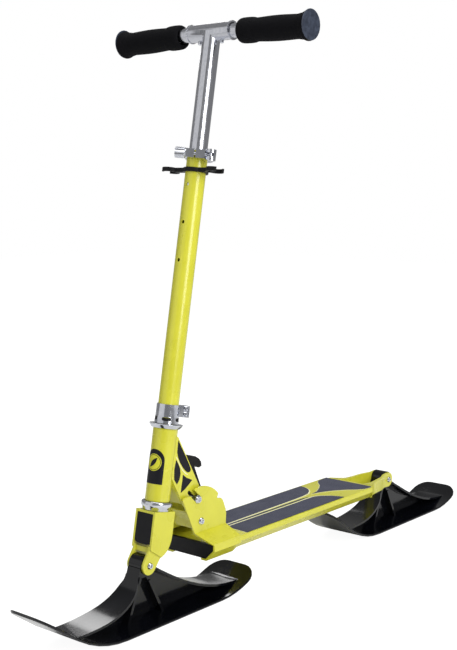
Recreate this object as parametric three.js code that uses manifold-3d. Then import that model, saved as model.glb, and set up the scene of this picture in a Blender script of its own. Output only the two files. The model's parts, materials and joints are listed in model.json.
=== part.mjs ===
// Folding snow scooter: a hollow deck with a plate hinge at its front, a raked steering column with a
// height-adjustable T-bar, and two moulded skis that rock on cross bolts.
// Millimetres, +Z up. In the model group forward is -Y and the steering axis meets the ground at 0, 0, 0.

import * as THREE from 'three';
import { mergeVertices } from 'three/addons/utils/BufferGeometryUtils.js';
import Module from 'manifold-3d';

const wasm = await Module();
wasm.setup();

// Driving dimensions

const degree = Math.PI / 180;
const fitGap = 0.3; // between pieces that seat on one another
const runGap = 0.5; // between pieces that move past one another
const slotGap = 0.4; // between a pin and the sides of its slot
const cutOverrun = 5; // how far a cutter stands out of what it cuts

// steering axis and column
const rakeAngle = 10.36 * degree;
const barHeight = 897.7; // handlebar axis, measured along the steering axis from the ground
const headTubeStart = 178.7;
const headTubeLength = 110.7;
const headTubeRadius = 19.1;
const headTubeWall = 2.6;
const steererRadius = 14;
const steererWall = 2;
const steererLength = 240;
const steeringTubeRadius = 15.9;
const steeringTubeWall = 1.6;
const steeringTubeTopShare = 0.794252; // of the bar's height
const steeringTubeTop = barHeight * steeringTubeTopShare;
const stemRadius = 14;
const stemWall = 1.8;
const stemInsertion = 79;
const heightHoleRadius = 2.8;
const heightHolePitch = 58;
const heightHoleCount = 3;
const heightHoleDrop = 52; // top hole below the top of the steering tube

// headset
const cupFlangeRadius = 25.7;
const cupFootRadius = 22.2;
const upperCupHeight = 6.9;
const lowerCupHeight = 13.4;
const lowerCupRadius = 23.2;
const cupSpigotLength = 8;
const cupLip = 1.6;
const bearingRadius = 19.5;
const bearingHeight = 5.6;
const crownRaceHeight = 2.4;
const headsetNutRadius = 17.1;
const headsetNutHeight = 7;

// clamps on the steering tube
const clampRadius = 18;
const upperClampHeight = 13.4;
const upperClampTurn = -57.5 * degree;
const upperEarReach = 28;
const upperSkewerReach = 21.5;
const clampSlit = 2.4;
const nutSideEar = 14;
const leverSideEar = 15.5;
const skewerRadius = 2.5;
const thumbNutRadius = 8.7;
const thumbNutLength = 15;
const thumbNutFlutes = 12;
const thumbNutCollar = 1.6;
const hubRadius = 7.8;
const hubHeight = 17;
const hubSlotHeight = 5.8;
const leverBand = 3.4;
const leverArmHeight = 11;
const leverArmClearance = 3.6;
const leverNeckTurn = 25 * degree;
const leverArmSweep = 125 * degree;
const leverOpening = 110 * degree;
const lowerClampHeight = 17.6;
const lowerSkirtHeight = 11.6;
const lowerSkirtFlare = 0.8;
const lowerEarReach = 32;
const lowerEarThickness = 7.5;
const lowerClampTurn = 60 * degree;
const lowerBoltSpacing = 9;
const lowerBoltReach = 26.5;
const lowerBoltRadius = 2.2;
const lowerBoltHeadRadius = 3.9;
const lowerBoltHeadHeight = 3.6;
const skirtWindowWidth = 14;
const skirtWindowHeight = 5.6;
const skirtWindowCount = 5;
const skirtWindowTurn = 160 * degree;

// handlebar holder clip
const holderThickness = 6.6;
const holderRingRadius = 19.6;
const holderDrop = 26.2; // ring top below the top of the steering tube
const holderClipSpan = 44.5;
const holderClipForward = 7.5;
const holderClipRadius = 10.9;
const holderClipWall = 3;
const holderClipMouth = 80 * degree;
const holderArmWidth = 9;

// T sleeve and handlebars
const sleeveRadius = 13.6;
const sleeveHalfLength = 42;
const sleeveRimRadius = 14.7;
const sleeveRimWidth = 2.2;
const sleeveBore = 11.9;
const barRadius = 11.1;
const barWall = 1.6;
const barInnerEnd = 2;
const barOuterEnd = 184;
const gripInnerEnd = 60;
const gripOuterEnd = 185.4;
const gripFlangeRadius = 22;
const gripBulgeRadius = 19.25;
const gripNeckRadius = 16.8;
const barDroop = 1.45 * degree; // each half hangs in the sleeve's play, about its snap button
const capRadius = 22.4;
const capThickness = 2.05;
const capPlugLength = 16;
const buttonReach = 22;
const buttonRadius = 3;
const buttonProud = 4.6;
const buttonTravel = 1.2;
const heightButtonRadius = 2.6;
const heightButtonLength = 7;

// fork
const forkHalfWidth = 19.9;
const forkWall = 3.6;
const lugHalfSpan = 16.9; // outer faces of the lugs at both axles
const lugWall = 3.5;
const crownThickness = 7;
const crownLip = 3.6;
const forkFrontDepth = 23.2;
const forkRearDepth = 21.4;
const forkRearStraight = 34;
const legFrontFoot = 107.5;
const legFoldDepth = 2.5;
const legFoldFoot = 95.5;
const legHeelDepth = 9.8;
const legHeelFoot = 100.6;
const rearWallFoot = 126;
const lugOverlap = 5;
const lugFrontAngle = 160 * degree;
const lugRearAngle = - 20 * degree;
const lugRadius = 14;
const forkOffset = 18.3; // axle in front of the steering axis
const plugDepth = 6;
const plugHeight = 46.5;
const plugCorner = 7;
const strapHeight = 7.5;
const strapThickness = 3;
const strapInset = 2.4;

// skis, both the same moulding
const axleHeight = 85.5;
const skiHalfWidth = 46.75;
const skiTipLength = 229;
const skiTailLength = 226;
const skiThickness = 3.8;
const skiCrown = 4.6;
const skiCrownHalfWidth = 13;
// each end's sole is level, then an arc, then a straight ramp; the corners are round in plan
const tipEnd = { length: skiTipLength, curveStart: 75, curveRadius: 174, arcRun: 100, cornerRadius: 29 };
const tailEnd = { length: skiTailLength, curveStart: 134, curveRadius: 175, arcRun: 80, cornerRadius: 28 };
const pylonBossRadius = 15;
const pylonWebThickness = 5;
const ribbonThickness = 3.8;
const ribbonTopHalfWidth = 13;
const ribbonFootHalfWidth = 26.5;
const ribThickness = 4.6;
const skiRibHalfWidth = 15;
const cheekRadius = 23; // room beside the boss for the lugs and arms that hold the axle
const bushRadius = 6.5;

// deck
const deckTop = 99.6;
const deckHalfWidth = 54.4;
const deckSideHeight = 8.5;
const deckChamfer = 15.5;
const deckChamferAngle = 45 * degree;
const deckWall = 2.5;
const deckFront = 104.3;
const deckRear = 560;
const deckCornerLength = 11;
const deckCornerWidth = 15;
const deckWebReach = 18;
const deckWebThickness = 2;
const bumperThickness = 6.3;
const bumperPlugLength = 22;
const bumperPlugWall = 2.4;
const panelThickness = 0.6;

// rear arms
const rearAxleY = 664;
const armEndRadius = 13.5;
const armReliefStart = 29.6;
const armReliefEnd = 44;
const armReliefDepth = 2.8;
const armTongueLength = 36;
const armTongueThickness = 8;

// hinge plates, lock and gussets
const pivotY = 103.3;
const pivotRise = 32.5; // pivot above the deck top
const lobeRadius = 55;
const lockRadius = 37;
const lockAngle = 11.06 * degree; // the lock bolt leans forward of the pivot by this
const lockSlope = 45 * degree; // the notch opens up and forward at this angle
const lockTravel = 14;
const notchRunGap = 0.45;
const hingeHalfSpan = 26;
const hingeThickness = 3;
const hingeBendRise = 16;
const hingeCornerRise = 2.4;
const hingeFlange = 9;
const gussetHalfSpan = 18.5;
const gussetThickness = 3;
const gussetLobeRadius = 15;
const gussetTop = 272;
const sleeveOuterRadius = 8;
const lockBushRadius = 5.75;
const leverHalfWidth = 8.5;
const leverStripLength = 47;

// fasteners
const boltRadius = 3;
const boltHeadRadius = 5.3;
const boltHeadHeight = 3.1;
const boltSocketRadius = 2.3;
const boltSocketDepth = 1.8;
const nutRadius = 5.77;
const nutHeight = 5;

// facets round a circle
const coarseSides = 20;
const fineSides = 36;
const gripSides = 24;

// colours and finishes
const paint = { color: 0xd3d32c, roughness: 0.35, metalness: 0 };
const alloy = { color: 0xb9bbc0, roughness: 0.25, metalness: 1 };
const zinc = { color: 0xa9abb3, roughness: 0.3, metalness: 1 };
const darkSteel = { color: 0x6d6f74, roughness: 0.4, metalness: 1 };
const glossBlack = { color: 0x101114, roughness: 0.2, metalness: 0 };
const mattBlack = { color: 0x17171a, roughness: 0.6, metalness: 0 };
const foamBlack = { color: 0x0d0d0f, roughness: 0.9, metalness: 0 };
const capGrey = { color: 0x23272f, roughness: 0.5, metalness: 0 };
const panelGrey = { color: 0x4a4c57, roughness: 0.85, metalness: 0 };
const bearingSteel = { color: 0x85878c, roughness: 0.35, metalness: 1 };
const nylonWhite = { color: 0xd8d8d2, roughness: 0.5, metalness: 0 };

// Sizes that follow from those above

const sinRake = Math.sin(rakeAngle);
const cosRake = Math.cos(rakeAngle);
const headTubeEnd = headTubeStart + headTubeLength;
const headTubeBore = headTubeRadius - headTubeWall;
const steererBore = steererRadius + fitGap;
const steeringTubeBore = steeringTubeRadius - steeringTubeWall;
const crownTop = headTubeStart - lowerCupHeight - runGap - fitGap;
const cupSpigotRadius = headTubeBore - fitGap;
const upperCupTop = headTubeEnd + upperCupHeight;
const lowerClampBase = upperCupTop + runGap;
const lowerBandBase = lowerClampBase + lowerSkirtHeight;
const lowerBandTop = lowerBandBase + lowerClampHeight;
const headsetNutBase = upperCupTop + runGap;
const headsetNutTop = headsetNutBase + headsetNutHeight;
const steeringTubeBase = headsetNutTop + fitGap;
const upperClampBase = steeringTubeTop - upperClampHeight;
const clampBore = steeringTubeRadius + fitGap;
const axleUp = (axleHeight - forkOffset * sinRake) / cosRake;
const frontAxleY = axleUp * sinRake - forkOffset * cosRake;
const stemBase = steeringTubeTop - stemInsertion;
const topHole = steeringTubeTop - heightHoleDrop;
const pivotZ = deckTop + pivotRise;
const lockY = pivotY - lockRadius * Math.sin(lockAngle);
const lockZ = pivotZ + lockRadius * Math.cos(lockAngle);
const deckBottom = deckTop - deckSideHeight - deckChamfer;
const deckBottomHalf = deckHalfWidth - deckChamfer;
const bumperFront = deckFront - bumperThickness;
const modelShift = -(frontAxleY - skiTipLength + rearAxleY + skiTailLength) / 2;
const boltBore = boltRadius + fitGap;
const skiBossBore = bushRadius + fitGap;
const lugInnerSpan = lugHalfSpan - lugWall;
const pylonBossHalfWidth = lugInnerSpan - runGap;

// Geometry helpers

// a closed geometry with shared vertices merged and its faces pointing out
function closed( geometry ) {

	const bare = geometry.clone();
	bare.deleteAttribute( 'normal' );
	bare.deleteAttribute( 'uv' );
	const merged = mergeVertices( bare );
	const position = merged.attributes.position;
	const source = merged.index.array;
	const kept = [];
	let volume = 0;
	const a = new THREE.Vector3();
	const b = new THREE.Vector3();
	const c = new THREE.Vector3();
	for ( let i = 0; i < source.length; i += 3 ) {

		const [ ia, ib, ic ] = [ source[ i ], source[ i + 1 ], source[ i + 2 ] ];
		if ( ia === ib || ib === ic || ic === ia ) continue;
		kept.push( ia, ib, ic );
		a.fromBufferAttribute( position, ia );
		b.fromBufferAttribute( position, ib );
		c.fromBufferAttribute( position, ic );
		volume += a.dot( b.cross( c ) );

	}

	if ( volume < 0 ) kept.reverse();
	merged.setIndex( kept );
	return merged;

}

function toSolid( geometry ) {

	const ready = closed( geometry );
	return new wasm.Manifold( new wasm.Mesh( {
		numProp: 3,
		vertProperties: new Float32Array( ready.attributes.position.array ),
		triVerts: new Uint32Array( ready.index.array )
	} ) );

}

function toGeometry( solid ) {

	const mesh = solid.getMesh();
	const geometry = new THREE.BufferGeometry();
	geometry.setAttribute( 'position', new THREE.BufferAttribute( mesh.vertProperties, 3 ) );
	geometry.setIndex( new THREE.BufferAttribute( mesh.triVerts, 1 ) );
	return geometry;

}

function join( ...geometries ) {

	return toGeometry( geometries.map( toSolid ).reduce( ( all, next ) => all.add( next ) ) );

}

function cut( base, ...tools ) {

	return toGeometry( tools.map( toSolid ).reduce( ( left, tool ) => left.subtract( tool ), toSolid( base ) ) );

}

function common( first, ...others ) {

	return toGeometry( others.map( toSolid ).reduce( ( left, next ) => left.intersect( next ), toSolid( first ) ) );

}

// a shape in y and z, pushed along x
function sidePlate( shape, fromX, toX, curveSegments = 12 ) {

	const geometry = new THREE.ExtrudeGeometry( shape, { depth: toX - fromX, bevelEnabled: false, curveSegments } );
	const yAxis = new THREE.Vector3( 0, 1, 0 );
	const zAxis = new THREE.Vector3( 0, 0, 1 );
	const xAxis = new THREE.Vector3( 1, 0, 0 );
	geometry.applyMatrix4( new THREE.Matrix4().makeBasis( yAxis, zAxis, xAxis ) );
	return geometry.translate( fromX, 0, 0 );

}

// a shape in x and z, pushed along y
function crossBlock( shape, fromY, toY, curveSegments = 12 ) {

	const geometry = new THREE.ExtrudeGeometry( shape, { depth: toY - fromY, bevelEnabled: false, curveSegments } );
	return geometry.rotateX( 90 * degree ).translate( 0, toY, 0 );

}

// a shape in x and y, pushed along z
function layer( shape, fromZ, toZ, curveSegments = 12 ) {

	const geometry = new THREE.ExtrudeGeometry( shape, { depth: toZ - fromZ, bevelEnabled: false, curveSegments } );
	return geometry.translate( 0, 0, fromZ );

}

// a closed profile of radius and height, turned about z
function turned( profile, sides = fineSides ) {

	const points = profile.map( ( [ radius, height ] ) => new THREE.Vector2( radius, height ) );
	return new THREE.LatheGeometry( [ ...points, points[ 0 ].clone() ], sides ).rotateX( 90 * degree );

}

function ring( outer, inner, fromZ, toZ, sides = fineSides ) {

	return turned( [ [ inner, fromZ ], [ outer, fromZ ], [ outer, toZ ], [ inner, toZ ] ], sides );

}

function rodZ( radius, fromZ, toZ, sides = fineSides ) {

	const geometry = new THREE.CylinderGeometry( radius, radius, toZ - fromZ, sides ).rotateX( 90 * degree );
	return geometry.translate( 0, 0, ( fromZ + toZ ) / 2 );

}

function rodX( radius, fromX, toX, y = 0, z = 0, sides = coarseSides ) {

	const geometry = new THREE.CylinderGeometry( radius, radius, toX - fromX, sides ).rotateZ( 90 * degree );
	return geometry.translate( ( fromX + toX ) / 2, y, z );

}

function rodY( radius, fromY, toY, x = 0, z = 0, sides = coarseSides ) {

	const geometry = new THREE.CylinderGeometry( radius, radius, toY - fromY, sides );
	return geometry.translate( x, ( fromY + toY ) / 2, z );

}

function block( fromX, toX, fromY, toY, fromZ, toZ ) {

	const geometry = new THREE.BoxGeometry( toX - fromX, toY - fromY, toZ - fromZ );
	return geometry.translate( ( fromX + toX ) / 2, ( fromY + toY ) / 2, ( fromZ + toZ ) / 2 );

}

// a sequence of rings with the same number of points, joined into one closed skin
function loft( rings ) {

	const count = rings[ 0 ].length;
	const positions = [];
	const index = [];
	for ( const points of rings ) for ( const point of points ) positions.push( ...point );
	for ( let r = 0; r < rings.length - 1; r ++ ) {

		for ( let i = 0; i < count; i ++ ) {

			const j = ( i + 1 ) % count;
			const a = r * count + i;
			const b = r * count + j;
			index.push( a, b, b + count, a, b + count, a + count );

		}

	}

	const last = ( rings.length - 1 ) * count;
	for ( let i = 1; i < count - 1; i ++ ) {

		index.push( 0, i + 1, i );
		index.push( last, last + i, last + i + 1 );

	}

	const geometry = new THREE.BufferGeometry();
	geometry.setAttribute( 'position', new THREE.Float32BufferAttribute( positions, 3 ) );
	geometry.setIndex( index );
	return geometry;

}

function polygon( points ) {

	return new THREE.Shape( points.map( ( [ u, v ] ) => new THREE.Vector2( u, v ) ) );

}

// an outline given as shares of one size, about a centre
function sharesOutline( shares, size, centreU, centreV ) {

	return shares.map( ( [ u, v ] ) => [ centreU + u * size, centreV + v * size ] );

}

// the region within a distance of the straight line between two points
function stadium( fromU, fromV, toU, toV, radius ) {

	const angle = Math.atan2( toV - fromV, toU - fromU );
	const shape = new THREE.Shape();
	shape.absarc( toU, toV, radius, angle - 90 * degree, angle + 90 * degree );
	shape.absarc( fromU, fromV, radius, angle + 90 * degree, angle + 270 * degree );
	shape.closePath();
	return shape;

}

// the part of a disc between two angles
function wedge( centreU, centreV, radius, start, end ) {

	const shape = new THREE.Shape();
	shape.moveTo( centreU, centreV );
	shape.lineTo( centreU + radius * Math.cos( start ), centreV + radius * Math.sin( start ) );
	shape.absarc( centreU, centreV, radius, start, end );
	shape.closePath();
	return shape;

}

function mirrored( geometry ) {

	return closed( geometry.clone().scale( - 1, 1, 1 ) );

}

const model = new THREE.Group();
model.position.y = modelShift;

// turned by the rake, so that its own z runs up the steering axis
const steering = new THREE.Group();
steering.rotation.x = - rakeAngle;
model.add( steering );

function addPiece( name, geometry, finish, parent = model ) {

	const material = new THREE.MeshStandardMaterial( finish );
	const mesh = new THREE.Mesh( closed( geometry ), material );
	mesh.name = name;
	parent.add( mesh );

}

// Deck

function deckOutline( inset, overrun = 0, underrun = 0 ) {

	const half = deckHalfWidth - inset;
	const slant = inset * Math.tan( deckChamferAngle / 2 );
	const side = deckTop - deckSideHeight + slant;
	const bottomHalf = deckBottomHalf - slant;
	return polygon( [
		[ - half, deckTop - inset + overrun ],
		[ - half, side ],
		[ - bottomHalf, deckBottom + inset - underrun ],
		[ bottomHalf, deckBottom + inset - underrun ],
		[ half, side ],
		[ half, deckTop - inset + overrun ]
	] );

}

// the deck seen from above, with its drawn-in rear corners
function deckPlan( margin ) {

	const half = deckHalfWidth + margin;
	const rear = deckRear + margin;
	const shape = new THREE.Shape();
	shape.moveTo( - half, deckFront );
	shape.lineTo( half, deckFront );
	shape.lineTo( half, rear - deckCornerLength );
	shape.quadraticCurveTo( half - deckCornerWidth / 3, rear, half - deckCornerWidth, rear );
	shape.lineTo( deckCornerWidth - half, rear );
	shape.quadraticCurveTo( deckCornerWidth / 3 - half, rear, - half, rear - deckCornerLength );
	shape.closePath();
	return shape;

}

function deckPlatform() {

	const body = crossBlock( deckOutline( 0 ), deckFront, deckRear );
	const hollow = crossBlock( deckOutline( deckWall ), deckFront - cutOverrun, deckRear + cutOverrun );
	const webs = [ - 1, 1 ].map( ( side ) => {

		const middle = side * deckWebReach;
		const half = deckWebThickness / 2;
		const skin = deckWall / 2;
		return block( middle - half, middle + half, deckFront, deckRear, deckBottom + skin, deckTop - skin );

	} );
	const plan = layer( deckPlan( 0 ), deckBottom - cutOverrun, deckTop + cutOverrun, 6 );
	return common( join( cut( body, hollow ), ...webs ), plan );

}

function frontBumper() {

	const face = crossBlock( deckOutline( 0 ), bumperFront, deckFront - fitGap );
	const plugEnd = deckFront + bumperPlugLength;
	const plug = crossBlock( deckOutline( deckWall + fitGap ), deckFront - cutOverrun / 2, plugEnd );
	const core = crossBlock( deckOutline( deckWall + fitGap + bumperPlugWall ), deckFront, plugEnd + cutOverrun );
	const webGap = deckWebThickness / 2 + fitGap;
	const slots = [ - 1, 1 ].map( ( side ) => {

		const middle = side * deckWebReach;
		const low = deckBottom - cutOverrun;
		const high = deckTop + cutOverrun;
		return block( middle - webGap, middle + webGap, deckFront - fitGap, plugEnd + cutOverrun, low, high );

	} );
	return join( face, cut( plug, core, ...slots ) );

}

// Anti-slip panels: corners as shares of the deck's half width and of its length

const nearPanelShares = [ [ 0.147, 0.184 ], [ 0.952, 0.178 ], [ 0.952, 0.783 ], [ 0.783, 0.777 ], [ 0.528, 0.763 ],
	[ 0.283, 0.735 ], [ 0.2, 0.718 ], [ 0.169, 0.7 ], [ 0.158, 0.66 ], [ 0.173, 0.585 ] ];
const farPanelShares = [ [ - 0.062, 0.181 ], [ - 0.125, 0.634 ], [ - 0.158, 0.695 ], [ - 0.206, 0.73 ], [ - 0.36, 0.765 ],
	[ - 0.48, 0.781 ], [ - 0.607, 0.792 ], [ - 0.77, 0.801 ], [ - 0.952, 0.803 ], [ - 0.952, 0.179 ] ];
const rearPanelShares = [ [ - 0.952, 0.9835 ], [ - 0.919, 0.921 ], [ - 0.735, 0.89 ], [ - 0.531, 0.867 ],
	[ - 0.322, 0.828 ], [ - 0.134, 0.779 ], [ - 0.079, 0.738 ], [ - 0.022, 0.7645 ], [ 0.07, 0.7944 ], [ 0.228, 0.832 ],
	[ 0.493, 0.8754 ], [ 0.781, 0.9092 ], [ 0.919, 0.9364 ], [ 0.955, 0.967 ], [ 0.9, 0.9835 ] ];

function gripPanel( shares ) {

	const length = deckRear - deckFront;
	const points = shares.map( ( [ across, along ] ) => [ across * deckHalfWidth, deckFront + along * length ] );
	return layer( polygon( points ), deckTop, deckTop + panelThickness );

}

// Rear arms: brackets that carry the deck's side on from its rear corner and draw in to the ski's boss

// outer and inner face of an arm as shares of its run from deck to axle and of the deck's half width
const armOuterShares = [ [ 0.1, 0.72 ], [ 0.22, 0.62 ], [ 0.385, 0.54 ], [ 0.67, 0.45 ] ];
const armInnerShares = [ [ 0.67, 0.37 ], [ 0.385, 0.42 ], [ 0.02, 0.485 ] ];
const armLugShare = 0.86;
const armDipShares = [ [ 0.28, 0.15 ], [ 0.7, 0.09 ] ]; // along the run, and down as a share of the deck's depth

function armPlan() {

	const run = rearAxleY - deckRear;
	const end = rearAxleY + 2 * armEndRadius;
	const point = ( [ along, across ] ) => [ across * deckHalfWidth, deckRear + along * run ];
	const lugStart = deckRear + armLugShare * run;
	return polygon( [
		[ deckHalfWidth, deckRear - deckCornerLength ],
		...armOuterShares.map( point ),
		[ lugHalfSpan, lugStart ],
		[ lugHalfSpan, end ],
		[ lugInnerSpan, end ],
		[ lugInnerSpan, lugStart ],
		...armInnerShares.map( point ),
		[ deckHalfWidth / 2, deckRear - deckCornerLength ]
	] );

}

function armSide() {

	const start = deckRear - deckCornerLength - cutOverrun;
	const run = rearAxleY - deckRear;
	const depth = deckTop - deckBottom;
	const shape = new THREE.Shape();
	shape.moveTo( start, deckBottom );
	shape.lineTo( deckRear, deckBottom );
	shape.lineTo( rearAxleY, axleHeight - armEndRadius );
	shape.absarc( rearAxleY, axleHeight, armEndRadius, - 90 * degree, 90 * degree );
	for ( const [ along, down ] of [ ...armDipShares ].reverse() ) {

		shape.lineTo( deckRear + along * run, deckTop - down * depth );

	}

	shape.lineTo( deckRear, deckTop );
	shape.lineTo( start, deckTop );
	shape.closePath();
	return shape;

}

function rearArm() {

	const low = deckBottom - 2 * cutOverrun;
	const high = deckTop + armEndRadius;
	const start = deckRear - deckCornerLength - cutOverrun;
	const wall = cut(
		common(
			layer( armPlan(), low, high ),
			sidePlate( armSide(), 0, deckHalfWidth + cutOverrun ),
			crossBlock( deckOutline( 0, armEndRadius, cutOverrun ), start, rearAxleY + 2 * armEndRadius )
		),
		layer( deckPlan( fitGap ), low - cutOverrun, high + cutOverrun, 6 ),
		block( armReliefStart, armReliefEnd, deckRear, deckRear + armReliefDepth, low, high )
	);
	const tongueOuter = deckHalfWidth - deckWall - fitGap;
	const tongueInner = tongueOuter - armTongueThickness;
	const tongueStart = deckRear - deckCornerLength - armTongueLength;
	const tongueEnd = deckRear + armReliefDepth;
	const tongueSide = crossBlock( deckOutline( deckWall + fitGap, 0, 0 ), tongueStart, tongueEnd );
	const tongueRoom = polygon( [
		[ tongueInner, tongueStart ],
		[ tongueOuter, tongueStart ],
		[ tongueOuter, deckRear - deckCornerLength ],
		[ tongueInner + deckWall, tongueEnd ],
		[ tongueInner, tongueEnd ]
	] );
	const tongue = common( tongueSide, layer( tongueRoom, low, high ) );
	return cut( join( wall, tongue ), rodX( boltBore, 0, deckHalfWidth, rearAxleY, axleHeight ) );

}

// Hinge plates: bent round the deck's side and chamfer, with a lock notch and a rear catch notch

// hinge plate corners as shares of the lobe radius, about the pivot, y and z
const hingeFrontShares = [ [ - 0.16, - 0.536 ], [ - 0.757, 0.742 ], [ - 0.735, 0.79 ], [ - 0.64, 0.805 ], [ - 0.44, 0.805 ] ];
const hingeRearShares = [ [ 0.696, 0.522 ], [ 0.88, 0.492 ], [ 0.95, 0.43 ], [ 1.009, 0.311 ], [ 1.085, 0.12 ],
	[ 1.109, 0 ], [ 1.076, - 0.511 ] ];
const lobeStartShare = 0.105; // of a turn, forward of upright to rear of upright
const lobeEndShare = 0.137;

function hingeSide() {

	const front = sharesOutline( hingeFrontShares, lobeRadius, pivotY, pivotZ );
	const rear = sharesOutline( hingeRearShares, lobeRadius, pivotY, pivotZ );
	const foot = deckBottom - hingeThickness - cutOverrun;
	const rearY = rear[ rear.length - 1 ][ 0 ];
	const frontY = bumperFront + runGap;
	const shape = new THREE.Shape();
	shape.moveTo( frontY, foot );
	shape.lineTo( frontY, deckTop );
	for ( const [ y, z ] of front ) shape.lineTo( y, z );
	const startAngle = 90 * degree + lobeStartShare * 180 * degree;
	const endAngle = 90 * degree - lobeEndShare * 360 * degree;
	shape.absarc( pivotY, pivotZ, lobeRadius, startAngle, endAngle, true );
	for ( const [ y, z ] of rear ) shape.lineTo( y, z );
	shape.lineTo( rearY, foot );
	shape.closePath();
	return shape;

}

// the plate's bent section in x and z: outer line first, then back along the inner line
function hingeSection() {

	const outer = [
		[ hingeHalfSpan, pivotZ + 2 * lobeRadius ],
		[ hingeHalfSpan, deckTop + hingeBendRise ],
		[ deckHalfWidth + fitGap + hingeThickness, deckTop + hingeCornerRise ],
		[ deckHalfWidth + fitGap + hingeThickness, deckTop - deckSideHeight - hingeThickness / 2 ],
		[ deckBottomHalf + hingeThickness / 2, deckBottom - fitGap - hingeThickness ],
		[ deckBottomHalf - hingeFlange, deckBottom - fitGap - hingeThickness ]
	];
	const inner = offsetLine( outer, hingeThickness );
	return polygon( [ ...outer, ...inner.reverse() ] );

}

// a polyline moved sideways by a distance, to the left of its run, with mitred corners
function offsetLine( points, distance ) {

	const normals = [];
	for ( let i = 0; i < points.length - 1; i ++ ) {

		const du = points[ i + 1 ][ 0 ] - points[ i ][ 0 ];
		const dv = points[ i + 1 ][ 1 ] - points[ i ][ 1 ];
		const length = Math.hypot( du, dv );
		normals.push( [ dv / length, - du / length ] );

	}

	return points.map( ( [ u, v ], i ) => {

		const before = normals[ Math.max( i - 1, 0 ) ];
		const after = normals[ Math.min( i, normals.length - 1 ) ];
		const sumU = before[ 0 ] + after[ 0 ];
		const sumV = before[ 1 ] + after[ 1 ];
		const scale = 2 / ( sumU * sumU + sumV * sumV );
		return [ u + sumU * scale * distance, v + sumV * scale * distance ];

	} );

}

// the lock pin's way out of the notch, with some run past its end
function lockWay( radius, reach ) {

	const toY = lockY - Math.cos( lockSlope ) * reach;
	const toZ = lockZ + Math.sin( lockSlope ) * reach;
	return stadium( lockY, lockZ, toY, toZ, radius );

}

function hingePlate() {

	const blank = common(
		crossBlock( hingeSection(), pivotY - 2 * lobeRadius, pivotY + 2 * lobeRadius ),
		sidePlate( hingeSide(), 0, deckHalfWidth + 2 * hingeThickness )
	);
	const notch = sidePlate( lockWay( lockBushRadius + notchRunGap, 2 * lockTravel ), 0, deckHalfWidth );
	const bore = rodX( boltBore, 0, deckHalfWidth, pivotY, pivotZ );
	return cut( blank, notch, bore );

}

// Head: tube, gussets and headset

function headTube() {

	return ring( headTubeRadius, headTubeBore, headTubeStart, headTubeEnd );

}

// gusset corners as shares of the height from the pivot to the gusset's top, about the pivot, y and z
const gussetShares = [ [ - 0.45, 0.62 ], [ - 0.423, 0.564 ], [ - 0.254, 0.262 ], [ - 0.105, 0.04 ] ];
const gussetRearShares = [ [ 0.11, 0.03 ], [ 0.041, 0.372 ], [ - 0.31, 1 ], [ - 0.45, 1 ] ];

function gusset() {

	const rise = gussetTop - pivotZ;
	const front = sharesOutline( gussetShares, rise, pivotY, pivotZ );
	const rear = sharesOutline( gussetRearShares, rise, pivotY, pivotZ );
	const shape = new THREE.Shape();
	const [ first, ...rest ] = front;
	shape.moveTo( ...first );
	for ( const [ y, z ] of rest ) shape.lineTo( y, z );
	shape.absarc( pivotY, pivotZ, gussetLobeRadius, 170 * degree, 370 * degree );
	for ( const [ y, z ] of rear ) shape.lineTo( y, z );
	shape.closePath();
	const plate = sidePlate( shape, gussetHalfSpan - gussetThickness, gussetHalfSpan );
	const tubeRoom = rodZ( headTubeRadius + fitGap, 0, headTubeEnd * 2 ).rotateX( - rakeAngle );
	// the tube's front half is removed with the tube itself
	const inFront = block( 0, 2 * gussetHalfSpan, - headTubeRadius * 3, 0, 0, headTubeEnd * 2 ).rotateX( - rakeAngle );
	const slot = sidePlate( lockWay( boltRadius + slotGap, lockTravel + boltRadius ), 0, deckHalfWidth );
	const sleeveHole = rodX( sleeveOuterRadius + fitGap, 0, deckHalfWidth, pivotY, pivotZ );
	return cut( plate, tubeRoom, inFront, slot, lockSweep(), sleeveHole );

}

// the arc that the lock pin passes, seen from the head, while the head folds
function lockSweep() {

	const clear = boltRadius + slotGap;
	const start = 90 * degree + lockAngle;
	const end = 180 * degree;
	const shape = new THREE.Shape();
	shape.absarc( pivotY, pivotZ, lockRadius + clear, start, end );
	shape.absarc( pivotY, pivotZ, lockRadius - clear, end, start, true );
	shape.closePath();
	return sidePlate( shape, 0, deckHalfWidth, 16 );

}

function upperCup() {

	const seat = bearingRadius + fitGap;
	const floor = headTubeEnd + cupLip / 2;
	return turned( [
		[ steererBore, headTubeEnd - cupSpigotLength ],
		[ cupSpigotRadius, headTubeEnd - cupSpigotLength ],
		[ cupSpigotRadius, headTubeEnd + fitGap ],
		[ cupFootRadius, headTubeEnd + fitGap ],
		[ cupFlangeRadius, upperCupTop - cupLip ],
		[ cupFlangeRadius, upperCupTop ],
		[ seat, upperCupTop ],
		[ seat, floor ],
		[ steererBore, floor ]
	] );

}

function lowerCup() {

	const seat = bearingRadius + fitGap;
	const base = crownTop + runGap;
	const roof = headTubeStart - cupLip;
	return turned( [
		[ steererBore, headTubeStart + cupSpigotLength ],
		[ steererBore, roof ],
		[ seat, roof ],
		[ seat, base ],
		[ lowerCupRadius, base ],
		[ cupFlangeRadius - cupLip / 2, headTubeStart - cupLip * 2 ],
		[ cupFlangeRadius - cupLip / 2, headTubeStart - fitGap ],
		[ cupSpigotRadius, headTubeStart - fitGap ],
		[ cupSpigotRadius, headTubeStart + cupSpigotLength ]
	] );

}

// Release lever: a black moulding between the gussets, with a finger hook and a fork behind the lock pin

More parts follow.
